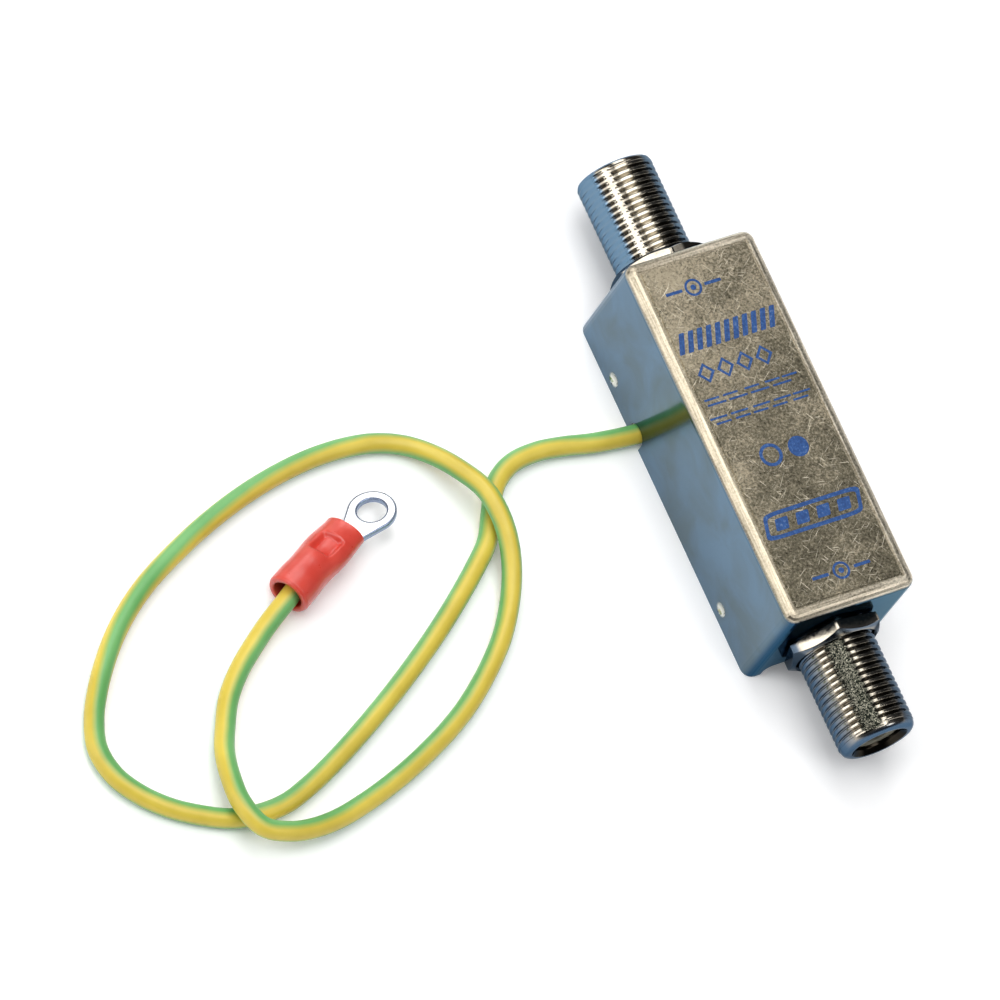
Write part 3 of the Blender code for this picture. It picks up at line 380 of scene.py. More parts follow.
def placed(matrix, points):
    """Points taken from a piece's own frame to the row frame."""
    matrix = np.array(matrix)
    return points @ matrix[:3, :3].T + matrix[:3, 3]


def rings(radius, height, angles):
    """Points on circles about z, with a row for each radius and height."""
    return np.stack([radius * np.cos(angles), radius * np.sin(angles), height], axis=-1)


def build_camera():
    """Camera on the photograph's line of sight, with its roll and long lens."""
    azimuth, elevation = CAMERA_AZIMUTH, CAMERA_ELEVATION
    back = Vector((math.sin(azimuth) * math.cos(elevation),
                   -math.cos(azimuth) * math.cos(elevation), math.sin(elevation)))
    level = Vector((math.cos(azimuth), math.sin(azimuth), 0))
    upright = back.cross(level)
    right = math.cos(CAMERA_ROLL) * level + math.sin(CAMERA_ROLL) * upright
    up = -math.sin(CAMERA_ROLL) * level + math.cos(CAMERA_ROLL) * upright
    data = bpy.data.cameras.new("camera")
    data.lens, data.sensor_width = CAMERA_LENS, 36
    data.clip_start, data.clip_end = 0.05, 50
    camera = new_object("camera", data)
    place = back * CAMERA_DISTANCE + right * CAMERA_RIGHT + up * CAMERA_UP
    camera.matrix_world = (Matrix.Translation(place)
                           @ Matrix((right, up, back)).transposed().to_4x4())
    bpy.context.scene.camera = camera


def paper_material(look):
    """Matt white paper, lifted to a white backdrop where it is seen or mirrored."""
    material, tree, shader, place = start_material(
        "white_paper", Roughness=0.9, Specular_IOR_Level=0.0, Emission_Color=(1, 1, 1, 1))
    tone = ramp(tree, noise(tree, place, 0.4, 4.0), (0.3, "#F8F8F8"), (0.7, look.floor))
    tree.links.new(tone, shader.inputs["Base Color"])
    rays = add(tree, "LightPath").outputs
    seen = calculate(tree, "MAXIMUM", rays["Is Camera Ray"], rays["Is Glossy Ray"])
    seen = calculate(tree, "MAXIMUM", seen, rays["Is Transmission Ray"])
    lift = calculate(tree, "MULTIPLY", seen, look.backdrop_lift)
    tree.links.new(lift, shader.inputs["Emission Strength"])
    return material


# Two long soft boxes, and small ones behind and in front: name, direction of the middle from
# the object as degrees from straight up towards +X and share towards +Y, width and length
FLOOR_HALF, LAMP_DISTANCE = 6.0, 1.2
SOFT_BOXES = [
    ("overhead_soft_box", 1.5, 0.2, 0.71, 1.7),
    ("side_soft_box", -46.0, 0.2, 0.46, 1.7),
    ("rear_soft_box", 10.0, 0.87, 0.5, 0.45),
    ("front_soft_box", 31.0, -0.55, 0.4, 0.35),
]


def build_stage(look):
    """Paper floor, pale surroundings under a darker ceiling, and four soft boxes.

    The world's brightness is a ramp over the height of the direction: pale from the floor to
    a little above the horizon, then falling to the ceiling.
    """
    x, y = np.meshgrid(*[np.linspace(-FLOOR_HALF, FLOOR_HALF, 3)] * 2, indexing="ij")
    floor = new_object("floor", surface(
        "floor", np.stack([x, y, np.zeros_like(x)], -1), wrap_rows=False, wrap_columns=False))
    floor.data.materials.append(paper_material(look))

    world = bpy.data.worlds.new("studio")
    world.use_nodes = True
    tree = world.node_tree
    tree.nodes.clear()
    direction = add(tree, "TexCoord").outputs["Generated"]
    height = add(tree, "SeparateXYZ", {"Vector": direction}).outputs["Z"]
    tone = ramp(tree, height, (0.0, look.wall), (0.1, look.wall), (0.26, look.ceiling),
                (1.0, look.ceiling))
    background = add(tree, "Background", {"Color": tone, "Strength": 1.0})
    add(tree, "OutputWorld", {"Surface": background.outputs[0]})
    bpy.context.scene.world = world

    for name, lean, forward, width, length in SOFT_BOXES:
        lamp = bpy.data.lights.new(name, "AREA")
        lamp.shape, lamp.size, lamp.size_y = "RECTANGLE", width, length
        lamp.energy = look.lamp_glow * math.pi * width * length
        lit = new_object(name, lamp)
        lean, level = math.radians(lean), math.sqrt(1 - forward ** 2)
        away = Vector((level * math.sin(lean), forward, level * math.cos(lean)))
        lit.location = away * LAMP_DISTANCE
        lit.rotation_euler = away.to_track_quat("Z", "Y").to_euler()
        lit.visible_camera = False
    bpy.context.scene.view_settings.view_transform = "Standard"


def insulation_material(look):
    """Extruded PVC in two colours: glossy, very slightly wavy, with a soft colour boundary.

    The UV's first number is the place round the lead in turns from a green stripe's middle,
    and the second is the place along it in mm.
    """
    material, tree, shader, place = start_material(
        "striped_pvc", Roughness=0.4, IOR=1.5, Coat_Weight=0.1, Coat_Roughness=0.2)
    turns = add(tree, "SeparateXYZ", {"Vector": add(tree, "UVMap").outputs["UV"]}).outputs["X"]
    side = calculate(tree, "COSINE", calculate(tree, "MULTIPLY", turns, 2 * TURN))
    wander = noise(tree, place, 0.25, 2.0)
    mask = spread(tree, calculate(tree, "MULTIPLY_ADD", wander, 0.4, side), -0.35, 0.85)
    clouds = noise(tree, place, 0.18, 3.0)
    yellow = ramp(tree, clouds, (0.3, "#CDB640"), (0.7, look.yellow))
    green = ramp(tree, clouds, (0.3, "#62A65A"), (0.7, look.green))
    rough = spread(tree, noise(tree, place, 5.0, 3.0), 0, 1, 0.34, 0.54)
    apply_finish(tree, shader, blend(tree, mask, yellow, green), rough,
                 noise(tree, place, 0.8, 2.0), 0.12, 0.1)
    return material


def build_earth_lead(look):
    """The lead: a circle of the lead's radius carried along its route, with closed ends.

    At each station the tangent and the upward direction give the circle's plane. A point is
    centre + radius * (cos(a) * up + sin(a) * right).
    """
    radius = look.diameter / 2
    stations = smooth_path(np.array(LEAD_ROUTE) * MM, LEAD_STATIONS)
    stations[:, 2] = np.maximum(stations[:, 2], radius)
    centres = smooth_path(stations, LEAD_RINGS)
    centres[:, 2] = np.maximum(centres[:, 2], radius + 0.01 * MM)
    ahead = np.gradient(centres, axis=0)
    ahead /= np.linalg.norm(ahead, axis=1, keepdims=True)
    right = np.cross(ahead, [0.0, 0.0, 1.0])
    right /= np.linalg.norm(right, axis=1, keepdims=True)
    upward = np.cross(right, ahead)
    steps = 32
    angles = np.linspace(0, TURN, steps, endpoint=False)
    ring = (np.cos(angles)[None, :, None] * upward[:, None, :]
            + np.sin(angles)[None, :, None] * right[:, None, :])
    ends = [1e-3, 0.8, 1.0]
    shares = np.concatenate([ends, np.ones(len(centres) - 2), ends[::-1]])
    spine = np.concatenate([[0, 0], np.arange(len(centres)), [len(centres) - 1] * 2])
    points = centres[spine][:, None, :] + radius * shares[:, None, None] * ring[spine]
    reach = reach_along(centres)
    share, turn = np.array(STRIPE_TURNS, dtype=float).T
    middle = np.interp(reach / reach[-1], share, turn) / 360
    around = np.linspace(0, 1, steps + 1)[None, :] - middle[spine][:, None]
    along = np.repeat((reach[spine] / MM)[:, None], steps + 1, axis=1)
    mesh = surface("earth_lead", points, around, along, wrap_rows=False)
    lead = add_piece("earth_lead", mesh, insulation_material(look),
                     ["earth_wire"])
    return lead, centres, float(reach[-1])


def nickel_material(look, name, painted_reflection_tone, roughness):
    """Bright nickel on turned brass: mirror-like, fine tool marks, grime and painted shade in
    threads.

    Point attributes run from 0 to 1: grime with painted shade in a thread, a painted blue
    reflection on the sides, painted shade on the sides and in the bore, and where handling has
    scuffed the shine off, painted dark as shade.
    """
    material, tree, shader, place = start_material(
        name, Metallic=1.0, Specular_Tint=linear("#B9C2CC"))
    patches = noise(tree, place, 0.45, 4.0, Roughness=0.6)
    colour = ramp(tree, patches, (0.32, "#A0978A"), (0.62, look.nickel))
    # Handling scuffs, painted near black as shade, with pale scribbles
    scuff_and_shade_tone = ramp(tree, noise(tree, place, 2.6, 2.0, Distortion=1.2), (0.36, "#131510"),
                   (0.45, "#1C1E19"), (0.49, "#7A776B"), (0.53, "#1B1D17"), (0.64, "#11130F"))
    # Laid over the nickel: painted blue reflection, scuffs painted dark as shade, and painted shade
    # in dark brown
    for label, tone in (("painted_blue_reflection", painted_reflection_tone), ("scuffed_and_shaded", scuff_and_shade_tone), ("shade", "#2B2721")):
        colour = blend(tree, attribute(tree, label), colour, tone)
    specks = noise(tree, place, 3.0, 4.0)
    # Grime in the threads, laid on more or less round the socket as painted shade too
    grime_and_shade = calculate(tree, "MULTIPLY", attribute(tree, "thread_grime_and_shade"),
                      spread(tree, specks, 0.35, 0.7, 0.6, 1.0))
    rough = spread(tree, specks, 0.3, 0.75, roughness * 0.6, roughness * 1.7)
    apply_finish(tree, shader, blend(tree, grime_and_shade, colour, look.grime_and_shade), rough,
                 noise(tree, place, 8.0, 2.0), 0.15, 0.02)
    return material


# Socket profile in its own frame, z outwards from the can's end
THREAD_RADIUS = 9.525 / 2 * MM
THREAD_RINGS = 330
CREST_SHARE, FLANK_SHARE = 0.2, 0.26
SOCKET_REACH = 14.3 * MM
SOCKET_BORE = 2.95 * MM
LIP_LENGTHS = {"line": 0.5 * MM, "equipment": 1.0 * MM}
LIP_ROUNDS = {"line": 0.4 * MM, "equipment": 0.9 * MM}
LIP_RADIUS = THREAD_RADIUS - 0.12 * MM
COUNTERSINK = 0.55 * MM
FLANGE_RADIUS, FLANGE_FACE, FLANGE_BACK = 6.0 * MM, -2.4 * MM, -3.9 * MM
BOSS_RADIUS, BOSS_END = 4.0 * MM, -6.4 * MM


# Round a socket, by the angle from straight up towards +X in degrees: the middle and the half
# widths in a groove and on a crest of the stretch that handling has worn smooth, how much of the
# thread's depth is left elsewhere, and the shares of painted blue reflection, of painted shade
# and of grime with painted shade in the grooves
WORN_STRETCH = {"line": (-35.5, 7.0, 10.5), "equipment": (-26.0, 14.0, 18.5)}
RELIEF_AROUND = {
    "line": [(-180, 1.0), (-90, 0.3), (-54, 0.12), (-49, 1.0)],
    "equipment": [(-180, 1.0), (-80, 0.75), (-60, 0.7), (-54, 1.0)]}
PAINTED_REFLECTION_AROUND = {
    "line": [(-54, 1.0), (-49, 0.0), (22, 0.0), (31, 0.9), (180, 1.0)],
    "equipment": [(-85, 1.0), (-62, 0.62), (-55, 0.0), (22, 0.0), (31, 0.9), (180, 1.0)]}
SHADE_AROUND = {
    "line": [(-120, 0.2), (-85, 0.0), (-56, 0.0), (-53, 0.4), (-45, 0.4), (-43, 0.0), (-28, 0.0),
             (-26, 0.35), (-21, 0.35), (-18, 0.0), (2, 0.0), (12, 0.55), (27, 0.65), (44, 0.25),
             (180, 0.2)],
    "equipment": [(-120, 0.2), (-85, 0.0), (-2, 0.0), (9, 0.5), (27, 0.65), (44, 0.25),
                  (180, 0.2)]}
GRIME_AND_SHADE_AROUND = {
    "line": [(-180, 0.9), (-80, 0.0), (-55, 0.0), (-50, 0.9), (-21, 0.9), (-17, 0.4), (-12, 0.2),
             (-5, 0.2), (3, 0.8), (180, 0.9)],
    "equipment": [(-180, 0.9), (-80, 0.1), (-58, 0.0), (-53, 0.5), (-7, 0.4), (-2, 0.9)]}


def rise(value, start, end):
    """0 at start, 1 at end, eased between and held outside: 3t^2 - 2t^3."""
    return eased(value, [(start, 0), (end, 1)])


def lean_of(label, angles):
    """Angle from straight up towards +X, in degrees, of a direction across a socket's axis."""
    outwards = np.stack([np.cos(angles), np.sin(angles), np.zeros_like(angles)], axis=-1)
    outwards = outwards @ np.array(port_frame(label))[:3, :3].T
    return np.degrees(np.arctan2(outwards[:, 0], outwards[:, 2]))


def socket_mesh(label, look):
    """A threaded socket shell: a profile turned about its axis, its outside cut by a helix.

    Outside, radius = crest - depth * groove(fraction(z / pitch - angle / turn)), where groove
    leaves the crest's flat down a 60 degree flank to a narrow root. The depth fades out at
    the lip and at the flange, and handling has worn a stretch smooth, with a ragged edge.
    """
    lip_round = LIP_ROUNDS[label]
    lip = SOCKET_REACH - LIP_LENGTHS[label]
    thread_z = np.linspace(FLANGE_FACE + 0.02 * MM, lip - 0.05 * MM, THREAD_RINGS)
    tip = [(LIP_RADIUS, lip + 0.01 * MM), (LIP_RADIUS, SOCKET_REACH - lip_round)]
    corner = np.linspace(0, math.pi / 2, 9)
    rounded = np.stack([LIP_RADIUS - lip_round * (1 - np.cos(corner)),
                        SOCKET_REACH - lip_round * (1 - np.sin(corner))], axis=1)
    mouth = min(SOCKET_BORE + COUNTERSINK, LIP_RADIUS - lip_round - 0.05 * MM)
    inside = [(mouth + 0.03 * MM, SOCKET_REACH), (mouth, SOCKET_REACH - 0.05 * MM),
              (SOCKET_BORE + 0.05 * MM, SOCKET_REACH - COUNTERSINK),
              (SOCKET_BORE, SOCKET_REACH - COUNTERSINK - 0.1 * MM),
              (SOCKET_BORE, SOCKET_REACH - 3 * MM), (SOCKET_BORE, BOSS_END)]
    behind = [(BOSS_RADIUS, BOSS_END), (BOSS_RADIUS, FLANGE_BACK), (FLANGE_RADIUS, FLANGE_BACK),
              (FLANGE_RADIUS, FLANGE_FACE), (THREAD_RADIUS, FLANGE_FACE)]
    thread = np.stack([np.full_like(thread_z, THREAD_RADIUS), thread_z], axis=1)
    profile = np.vstack([behind, thread, tip, rounded[1:], inside])
    angles = np.linspace(0, TURN, 96, endpoint=False)
    radius, height = profile[:, :1] + 0 * angles, profile[:, 1:] + 0 * angles
    threaded, facing, bored = np.zeros((3, len(profile), 1))
    threaded[len(behind):len(behind) + len(thread)] = 1
    facing[-len(inside) - len(corner) + 1:-len(inside), 0] = np.sin(corner[1:])
    bored[-len(inside) + 1:] = 1
    fade = np.clip((lip - height) / (0.7 * look.pitch), 0, 1) * np.clip(
        (height - FLANGE_FACE) / look.pitch, 0, 1)
    phase = np.mod(height / look.pitch - angles / TURN, 1)
    groove = np.clip((0.5 - np.abs(phase - 0.5) - CREST_SHARE) / FLANK_SHARE, 0, 1)
    low = threaded * fade * groove

    lean = lean_of(label, angles)
    middle, in_groove, on_crest = WORN_STRETCH[label]
    reach = in_groove + (on_crest - in_groove) * 2 * np.abs(phase - 0.5)
    worn = 1 - rise(np.abs(lean - middle) - reach, -1.5, 1.5)
    relief = eased(lean, RELIEF_AROUND[label])
    radius = radius - look.depth * low * relief * (1 - worn)
    points = placed(port_frame(label), rings(radius, height, angles))

    # Painted blue reflection on the low sides and on the lip's outward face
    painted_blue_reflection = np.maximum(eased(lean, PAINTED_REFLECTION_AROUND[label]) * (1 - 0.35 * low * relief),
                      rise(facing, 0.2, 0.7))
    # Painted shade on the sides and inside the bore
    shade = np.maximum(eased(lean, SHADE_AROUND[label]) * (facing < 0.3), bored)
    # Scuffed stretch of the equipment socket, painted dark as shade
    scuffed_and_shaded = worn * (label == "equipment") * (1 - bored) * (facing < 0.3)
    # Grime with painted shade in the grooves, set round the socket
    thread_grime_and_shade = low * eased(lean, GRIME_AND_SHADE_AROUND[label]) * (1 - worn)
    return surface(label + "_socket", points, values={
        "thread_grime_and_shade": thread_grime_and_shade, "painted_blue_reflection": painted_blue_reflection * (1 - bored), "scuffed_and_shaded": scuffed_and_shaded, "shade": shade})


def build_sockets(look):
    """Both threaded sockets, from the same turned and threaded shell."""
    # The equipment socket's painted blue reflection is darker, as painted shade
    for label, tone in (("line", look.painted_blue_reflection), ("equipment", look.painted_blue_reflection_in_shade)):
        add_piece(label + "_socket", socket_mesh(label, look),
                  nickel_material(look, label + "_socket_nickel", tone, 0.16),
                  [label + "_socket_shell"], sharp=55)


NUT_FLATS = 11.1 * MM
NUT_THICKNESS = 1.8 * MM
NUT_FOOT = 0.3 * MM
NUT_FACE_SHARE = 0.93
NUT_TURNS = {"line": math.radians(-4), "equipment": math.radians(14)}
# Angle from which the nut's right-hand facets get painted shade
NUT_PAINTED_SHADE_SIDE = {"line": 12, "equipment": 44}


def nut_mesh(label):
    """A thin hex nut. Its outline is radius = half flats / cos(angle to the nearest flat).

    The outer face is a cone outside the face's circle, height = top - (radius - face) * tan 30.
    """
    angles = np.linspace(0, TURN, 144, endpoint=False)
    to_flat = np.abs(np.mod(angles, TURN / 6) - TURN / 12)
    outline = NUT_FLATS / 2 / np.cos(to_flat)
    outline = np.minimum(outline, NUT_FLATS / math.sqrt(3) - 0.06 * MM)
    face = NUT_FACE_SHARE * NUT_FLATS / 2
    bore = THREAD_RADIUS + 0.2 * MM
    top = NUT_FOOT + NUT_THICKNESS
    drop = np.tan(math.radians(30)) * (outline - face)
    rows = [(bore, NUT_FOOT), (bore, top - 0.25 * MM), (bore + 0.25 * MM, top), (face, top)]
    rows += [(face + (outline - face) * share, top - drop * share) for share in (0.5, 0.94)]
    rows += [(outline, top - drop - 0.06 * MM), (outline, NUT_FOOT + 0.08 * MM),
             (outline - 0.08 * MM, NUT_FOOT)]
    radii, heights = (np.array([row[i] + 0 * angles for row in rows]) for i in (0, 1))
    turned = angles + NUT_TURNS[label] + TURN / 12
    points = placed(port_frame(label), rings(radii, heights, turned))
    lean = lean_of(label, turned)
    dark = NUT_PAINTED_SHADE_SIDE[label]
    # Painted shade on the lower left and the right-hand facets
    shade = 0.6 * rise(-lean, 64, 70) + rise(lean, dark, dark + 6) + 0 * heights
    face_side = (heights > top - drop - 0.01 * MM) * (radii > bore + 0.2 * MM)
    # Painted blue reflection on the face and chamfer, and on the lower left facets
    painted_blue_reflection = np.maximum(0.8 * face_side, rise(-lean, 64, 70))
    return surface(label + "_hex_nut", points[::-1],
                   values={"painted_blue_reflection": painted_blue_reflection[::-1], "shade": shade[::-1]})


def build_nuts(look):
    """Both hex nuts, and a finish for the toothed lock washers behind the end walls."""
    material = nickel_material(look, "nut_nickel", look.painted_blue_reflection_in_shade, 0.14)
    for label in ("line", "equipment"):
        add_piece(label + "_hex_nut", nut_mesh(label), material, [label + "_nut"],
                  sharp=4)
        dress(label + "_lock_washer", material)


# Sleeve and ring in the terminal's own frame
SLEEVE_LENGTH = 11.6 * MM
SLEEVE_ROUND = 0.35 * MM
WAIST = 0.36 * SLEEVE_LENGTH
CRIMP = 0.66 * SLEEVE_LENGTH
DENT_PLACE = (0.645 * SLEEVE_LENGTH, -0.4 * MM)
DENT_HALF_SIZE = (1.5 * MM, 1.3 * MM)
DENT_DEPTH = 0.8 * MM
RING_PLACE = (SLEEVE_LENGTH + 4.15 * MM, -0.75 * MM, -0.8 * MM)
RING_RADIUS = 2.9 * MM
RING_HOLE = 1.75 * MM
RING_THICKNESS = 0.75 * MM
NECK_CORNER, NECK_ROOT = (4.45 * MM, 1.35 * MM), (8.1 * MM, 0.7 * MM)


def vinyl_material(look):
    """Dipped vinyl: glossy, softly mottled, deeper red in the crimped dent as painted shade."""
    material, tree, shader, place = start_material(
        "red_vinyl", Roughness=0.36, IOR=1.5, Coat_Weight=0.3, Coat_Roughness=0.2)
    red = ramp(tree, noise(tree, place, 0.35, 3.0), (0.3, "#CB3D31"), (0.7, look.vinyl))
    skin = noise(tree, place, 2.2, 3.0)
    # Painted shade: deeper red where the die pressed the dent
    apply_finish(tree, shader, blend(tree, attribute(tree, "pressed_and_shaded"), red, "#CC2F1F"),
                 spread(tree, skin, 0, 1, 0.2, 0.45), skin, 0.15, 0.1)
    return material


def sleeve_mesh():
    """The crimped sleeve: ellipses lofted along x, outside then inside, pressed in by a die.

    Half width and height ease between the mouth, waist, crimp and front. The die's print is
    depth * exp(-(x / a)^8) * exp(-(y / b)^8) on the upper side.
    """
    mouth, barrel, waist = 2.525 * MM, 2.7 * MM, 2.58 * MM
    shared = [(0, mouth), (SLEEVE_ROUND, barrel), (WAIST / 2, barrel), (WAIST, waist)]
    widths = shared + [(CRIMP, 2.86 * MM), (SLEEVE_LENGTH, 2.6 * MM)]
    heights = shared + [(CRIMP, 2.2 * MM), (SLEEVE_LENGTH, 1.8 * MM)]
    sags = [(WAIST, 0), (SLEEVE_LENGTH, 0.35 * MM)]
    walls = [(0, 0.575 * MM), (SLEEVE_ROUND, 0.75 * MM), (CRIMP, 0.75 * MM),
             (SLEEVE_LENGTH, 0.4 * MM)]
    outer = np.concatenate([np.linspace(0, SLEEVE_ROUND, 6)[:-1],
                            np.linspace(SLEEVE_ROUND, SLEEVE_LENGTH, 120)])
    inner = np.linspace(SLEEVE_LENGTH, 0, 40)
    along = np.concatenate([outer, inner])
    inset = np.concatenate([np.zeros(len(outer)), eased(inner, walls)])
    angles = np.linspace(0, TURN, 96, endpoint=False)
    half_width = (eased(along, widths) - inset)[:, None]
    half_height = (eased(along, heights) - inset)[:, None]
    y, z = half_width * np.cos(angles), half_height * np.sin(angles)
    print_x, print_y = (np.exp(-((place - middle) / half) ** 8) for place, middle, half
                        in zip((along[:, None], y), DENT_PLACE, DENT_HALF_SIZE))
    # The die's print: it presses the dent and sets its painted shade
    pressed_and_shaded = print_x * print_y * (np.sin(angles) > 0) * (inset == 0)[:, None]
    z = z - eased(along, sags)[:, None] - DENT_DEPTH * pressed_and_shaded
    points = np.stack([np.broadcast_to(along[:, None], y.shape), y, z], axis=-1)
    return surface("sleeve", placed(terminal_frame(), points), values={"pressed_and_shaded": 0.6 * pressed_and_shaded})


def tinned_material(look, name, roughness):
    """Electro-tinned copper: silvery, satin, with faint rolling lines and a few bruises.

    The point attribute "edge" is 1 on the blank's edges, painted blue-grey as a reflection, and
    0.5 on the line between edge and face, painted dark as shade.
    """
    material, tree, shader, place = start_material(name, Metallic=1.0, Roughness=roughness)
    tin = ramp(tree, noise(tree, place, 0.8, 4.0), (0.3, "#D6D9DD"), (0.65, look.tin))
    edge = attribute(tree, "edge")
    # Painted reflection in blue-grey on the edges, and a painted dark outline where they meet the
    # faces
    painted_edge_shade = ramp(tree, edge, (0.45, "#3E4658"), (0.9, "#8C9AB4"))
    colour = blend(tree, spread(tree, edge, 0, 0.4), tin, painted_edge_shade)
    lines = noise(tree, stretched(tree, place, (2.0, 0.11, 0.5), TERMINAL_TURN[2]), 1.0, 3.0)
    rough = spread(tree, lines, 0, 1, roughness * 0.7, roughness * 1.5)
    apply_finish(tree, shader, colour, rough, lines, 0.15, 0.03)
    return material


def ring_mesh():
    """The blanked ring and neck: a rounded strip section carried round the blank's outline.

    The outline is a circle about the ring's middle, widened towards the neck to the tangents
    that reach the neck's corners, then along the neck to its root.
    """
    angles = np.linspace(0, TURN, 256, endpoint=False)
    towards = np.abs(np.mod(angles, TURN) - math.pi)
    corner, root = np.array(NECK_CORNER), np.array(NECK_ROOT)
    corner_angle = math.atan2(corner[1], corner[0])
    normal_angle = corner_angle + math.acos(RING_RADIUS / math.hypot(*corner))
    tangent = RING_RADIUS / np.cos(np.minimum(np.abs(normal_angle - towards), 1.4))
    side = root - corner
    side_normal = np.array([-side[1], side[0]]) / np.linalg.norm(side)
    neck = side_normal @ corner / (side_normal[0] * np.cos(towards)
                                   + side_normal[1] * np.sin(towards))
    end = root[0] / np.maximum(np.cos(towards), 0.1)
    outline = np.where(towards < corner_angle, np.minimum(neck, end),
                       np.where(towards < normal_angle, tangent, RING_RADIUS))
    half, edge, rim = RING_THICKNESS / 2, 0.1 * MM, 0.3 * MM
    arc = np.linspace(0, math.pi / 2, 4)
    over = np.stack([edge * (1 - np.cos(arc)), half - edge * (1 - np.sin(arc))], axis=1)
    outside = np.vstack([over[::-1] * [1, -1], over])
    # Painted dark outline on the rows between the edge's rounding and the face
    painted_outline_share = [1 - 0.5 * (inset > 0.09 * MM) for inset, height in outside]
    rows = [(outline - inset, height, share) for (inset, height), share in zip(outside, painted_outline_share)]
    rows += [(outline - rim, half, 0), ((RING_HOLE + outline) / 2, half, 0),
             (RING_HOLE + rim, half, 0)]
    rows += [(RING_HOLE + inset, height, share)
             for (inset, height), share in zip(outside[::-1], painted_outline_share[::-1])]
    rows += [(RING_HOLE + rim, -half, 0), ((RING_HOLE + outline) / 2, -half, 0),
             (outline - rim, -half, 0)]
    radius, height, painted_edge_shade = (np.array([row[i] + 0 * angles for row in rows]) for i in range(3))
    points = placed(terminal_frame(), rings(radius, height, angles) + RING_PLACE)
    return surface("ring_terminal", points, values={"edge": painted_edge_shade})


def barrel_mesh():
    """The rolled crimp barrel inside the sleeve: a tube about the terminal's axis."""
    start, end, outside, inside = 5.22 * MM, 8.62 * MM, 1.15 * MM, 0.75 * MM
    profile = np.array([(outside, start), (outside, end), (inside, end), (inside, start)])
    angles = np.linspace(0, TURN, 48, endpoint=False)
    radius = profile[:, :1]
    points = np.stack([profile[:, 1:] + 0 * angles, radius * np.cos(angles),
                       radius * np.sin(angles)], axis=-1)
    return surface("crimp_barrel", placed(terminal_frame(), points))


def build_terminal(look):
    """Ring, crimp barrel and sleeve, and the finish of the bared strands inside."""
    tinned = tinned_material(look, "tinned_copper", 0.26)
    ring = add_piece("ring_terminal", ring_mesh(), tinned, ["ring_tongue"],
                     sharp=50)
    barrel = add_piece("crimp_barrel", barrel_mesh(), tinned,
                       ["ring_tongue"], sharp=50)
    sleeve = add_piece("sleeve", sleeve_mesh(), vinyl_material(look),
                       ["terminal_sleeve"])
    dress("terminal_conductor", tinned)
    return [ring, barrel, sleeve, NODES["terminal_conductor"]]


def build_lead_and_terminal(lead_look, terminal_look):
    """The earth lead with the terminal that is crimped onto its far end."""
    lead, centres, length = build_earth_lead(lead_look)
    pieces = build_terminal(terminal_look)


# Places on the can in mm: where the top's borders, its rounding and the end walls' rounding
# begin and are full, and the snap dimples
SIDE_BORDER, END_BORDER = (7.1, 7.6), (22.0, 22.5)
TOP_ROUNDING, END_ROUNDING = (15.75, 16.3), (22.7, 23.5)
DIMPLE_ALONG, DIMPLE_HEIGHT, DIMPLE_RADIUS = 15.3, 2.05, 1.0
# Sets of scratches: direction, and width and length of a mark in mm
SCRATCH_SETS = [(0.55, 0.1, 2.2), (-0.95, 0.09, 2.6), (1.35, 0.1, 1.8), (2.45, 0.08, 3.4)]


def scratch_mask(tree, place):
    """Fine short scratches in several directions: stretched noise, kept where it peaks."""
    deepest = None
    for turn, across, along in SCRATCH_SETS:
        marks = noise(tree, stretched(tree, place, (across, along, 1.0), turn), 1.0, 1.5)
        deepest = calculate(tree, "MAXIMUM", deepest, marks) if deepest else marks
    return spread(tree, deepest, 0.68, 0.76, smooth=True)


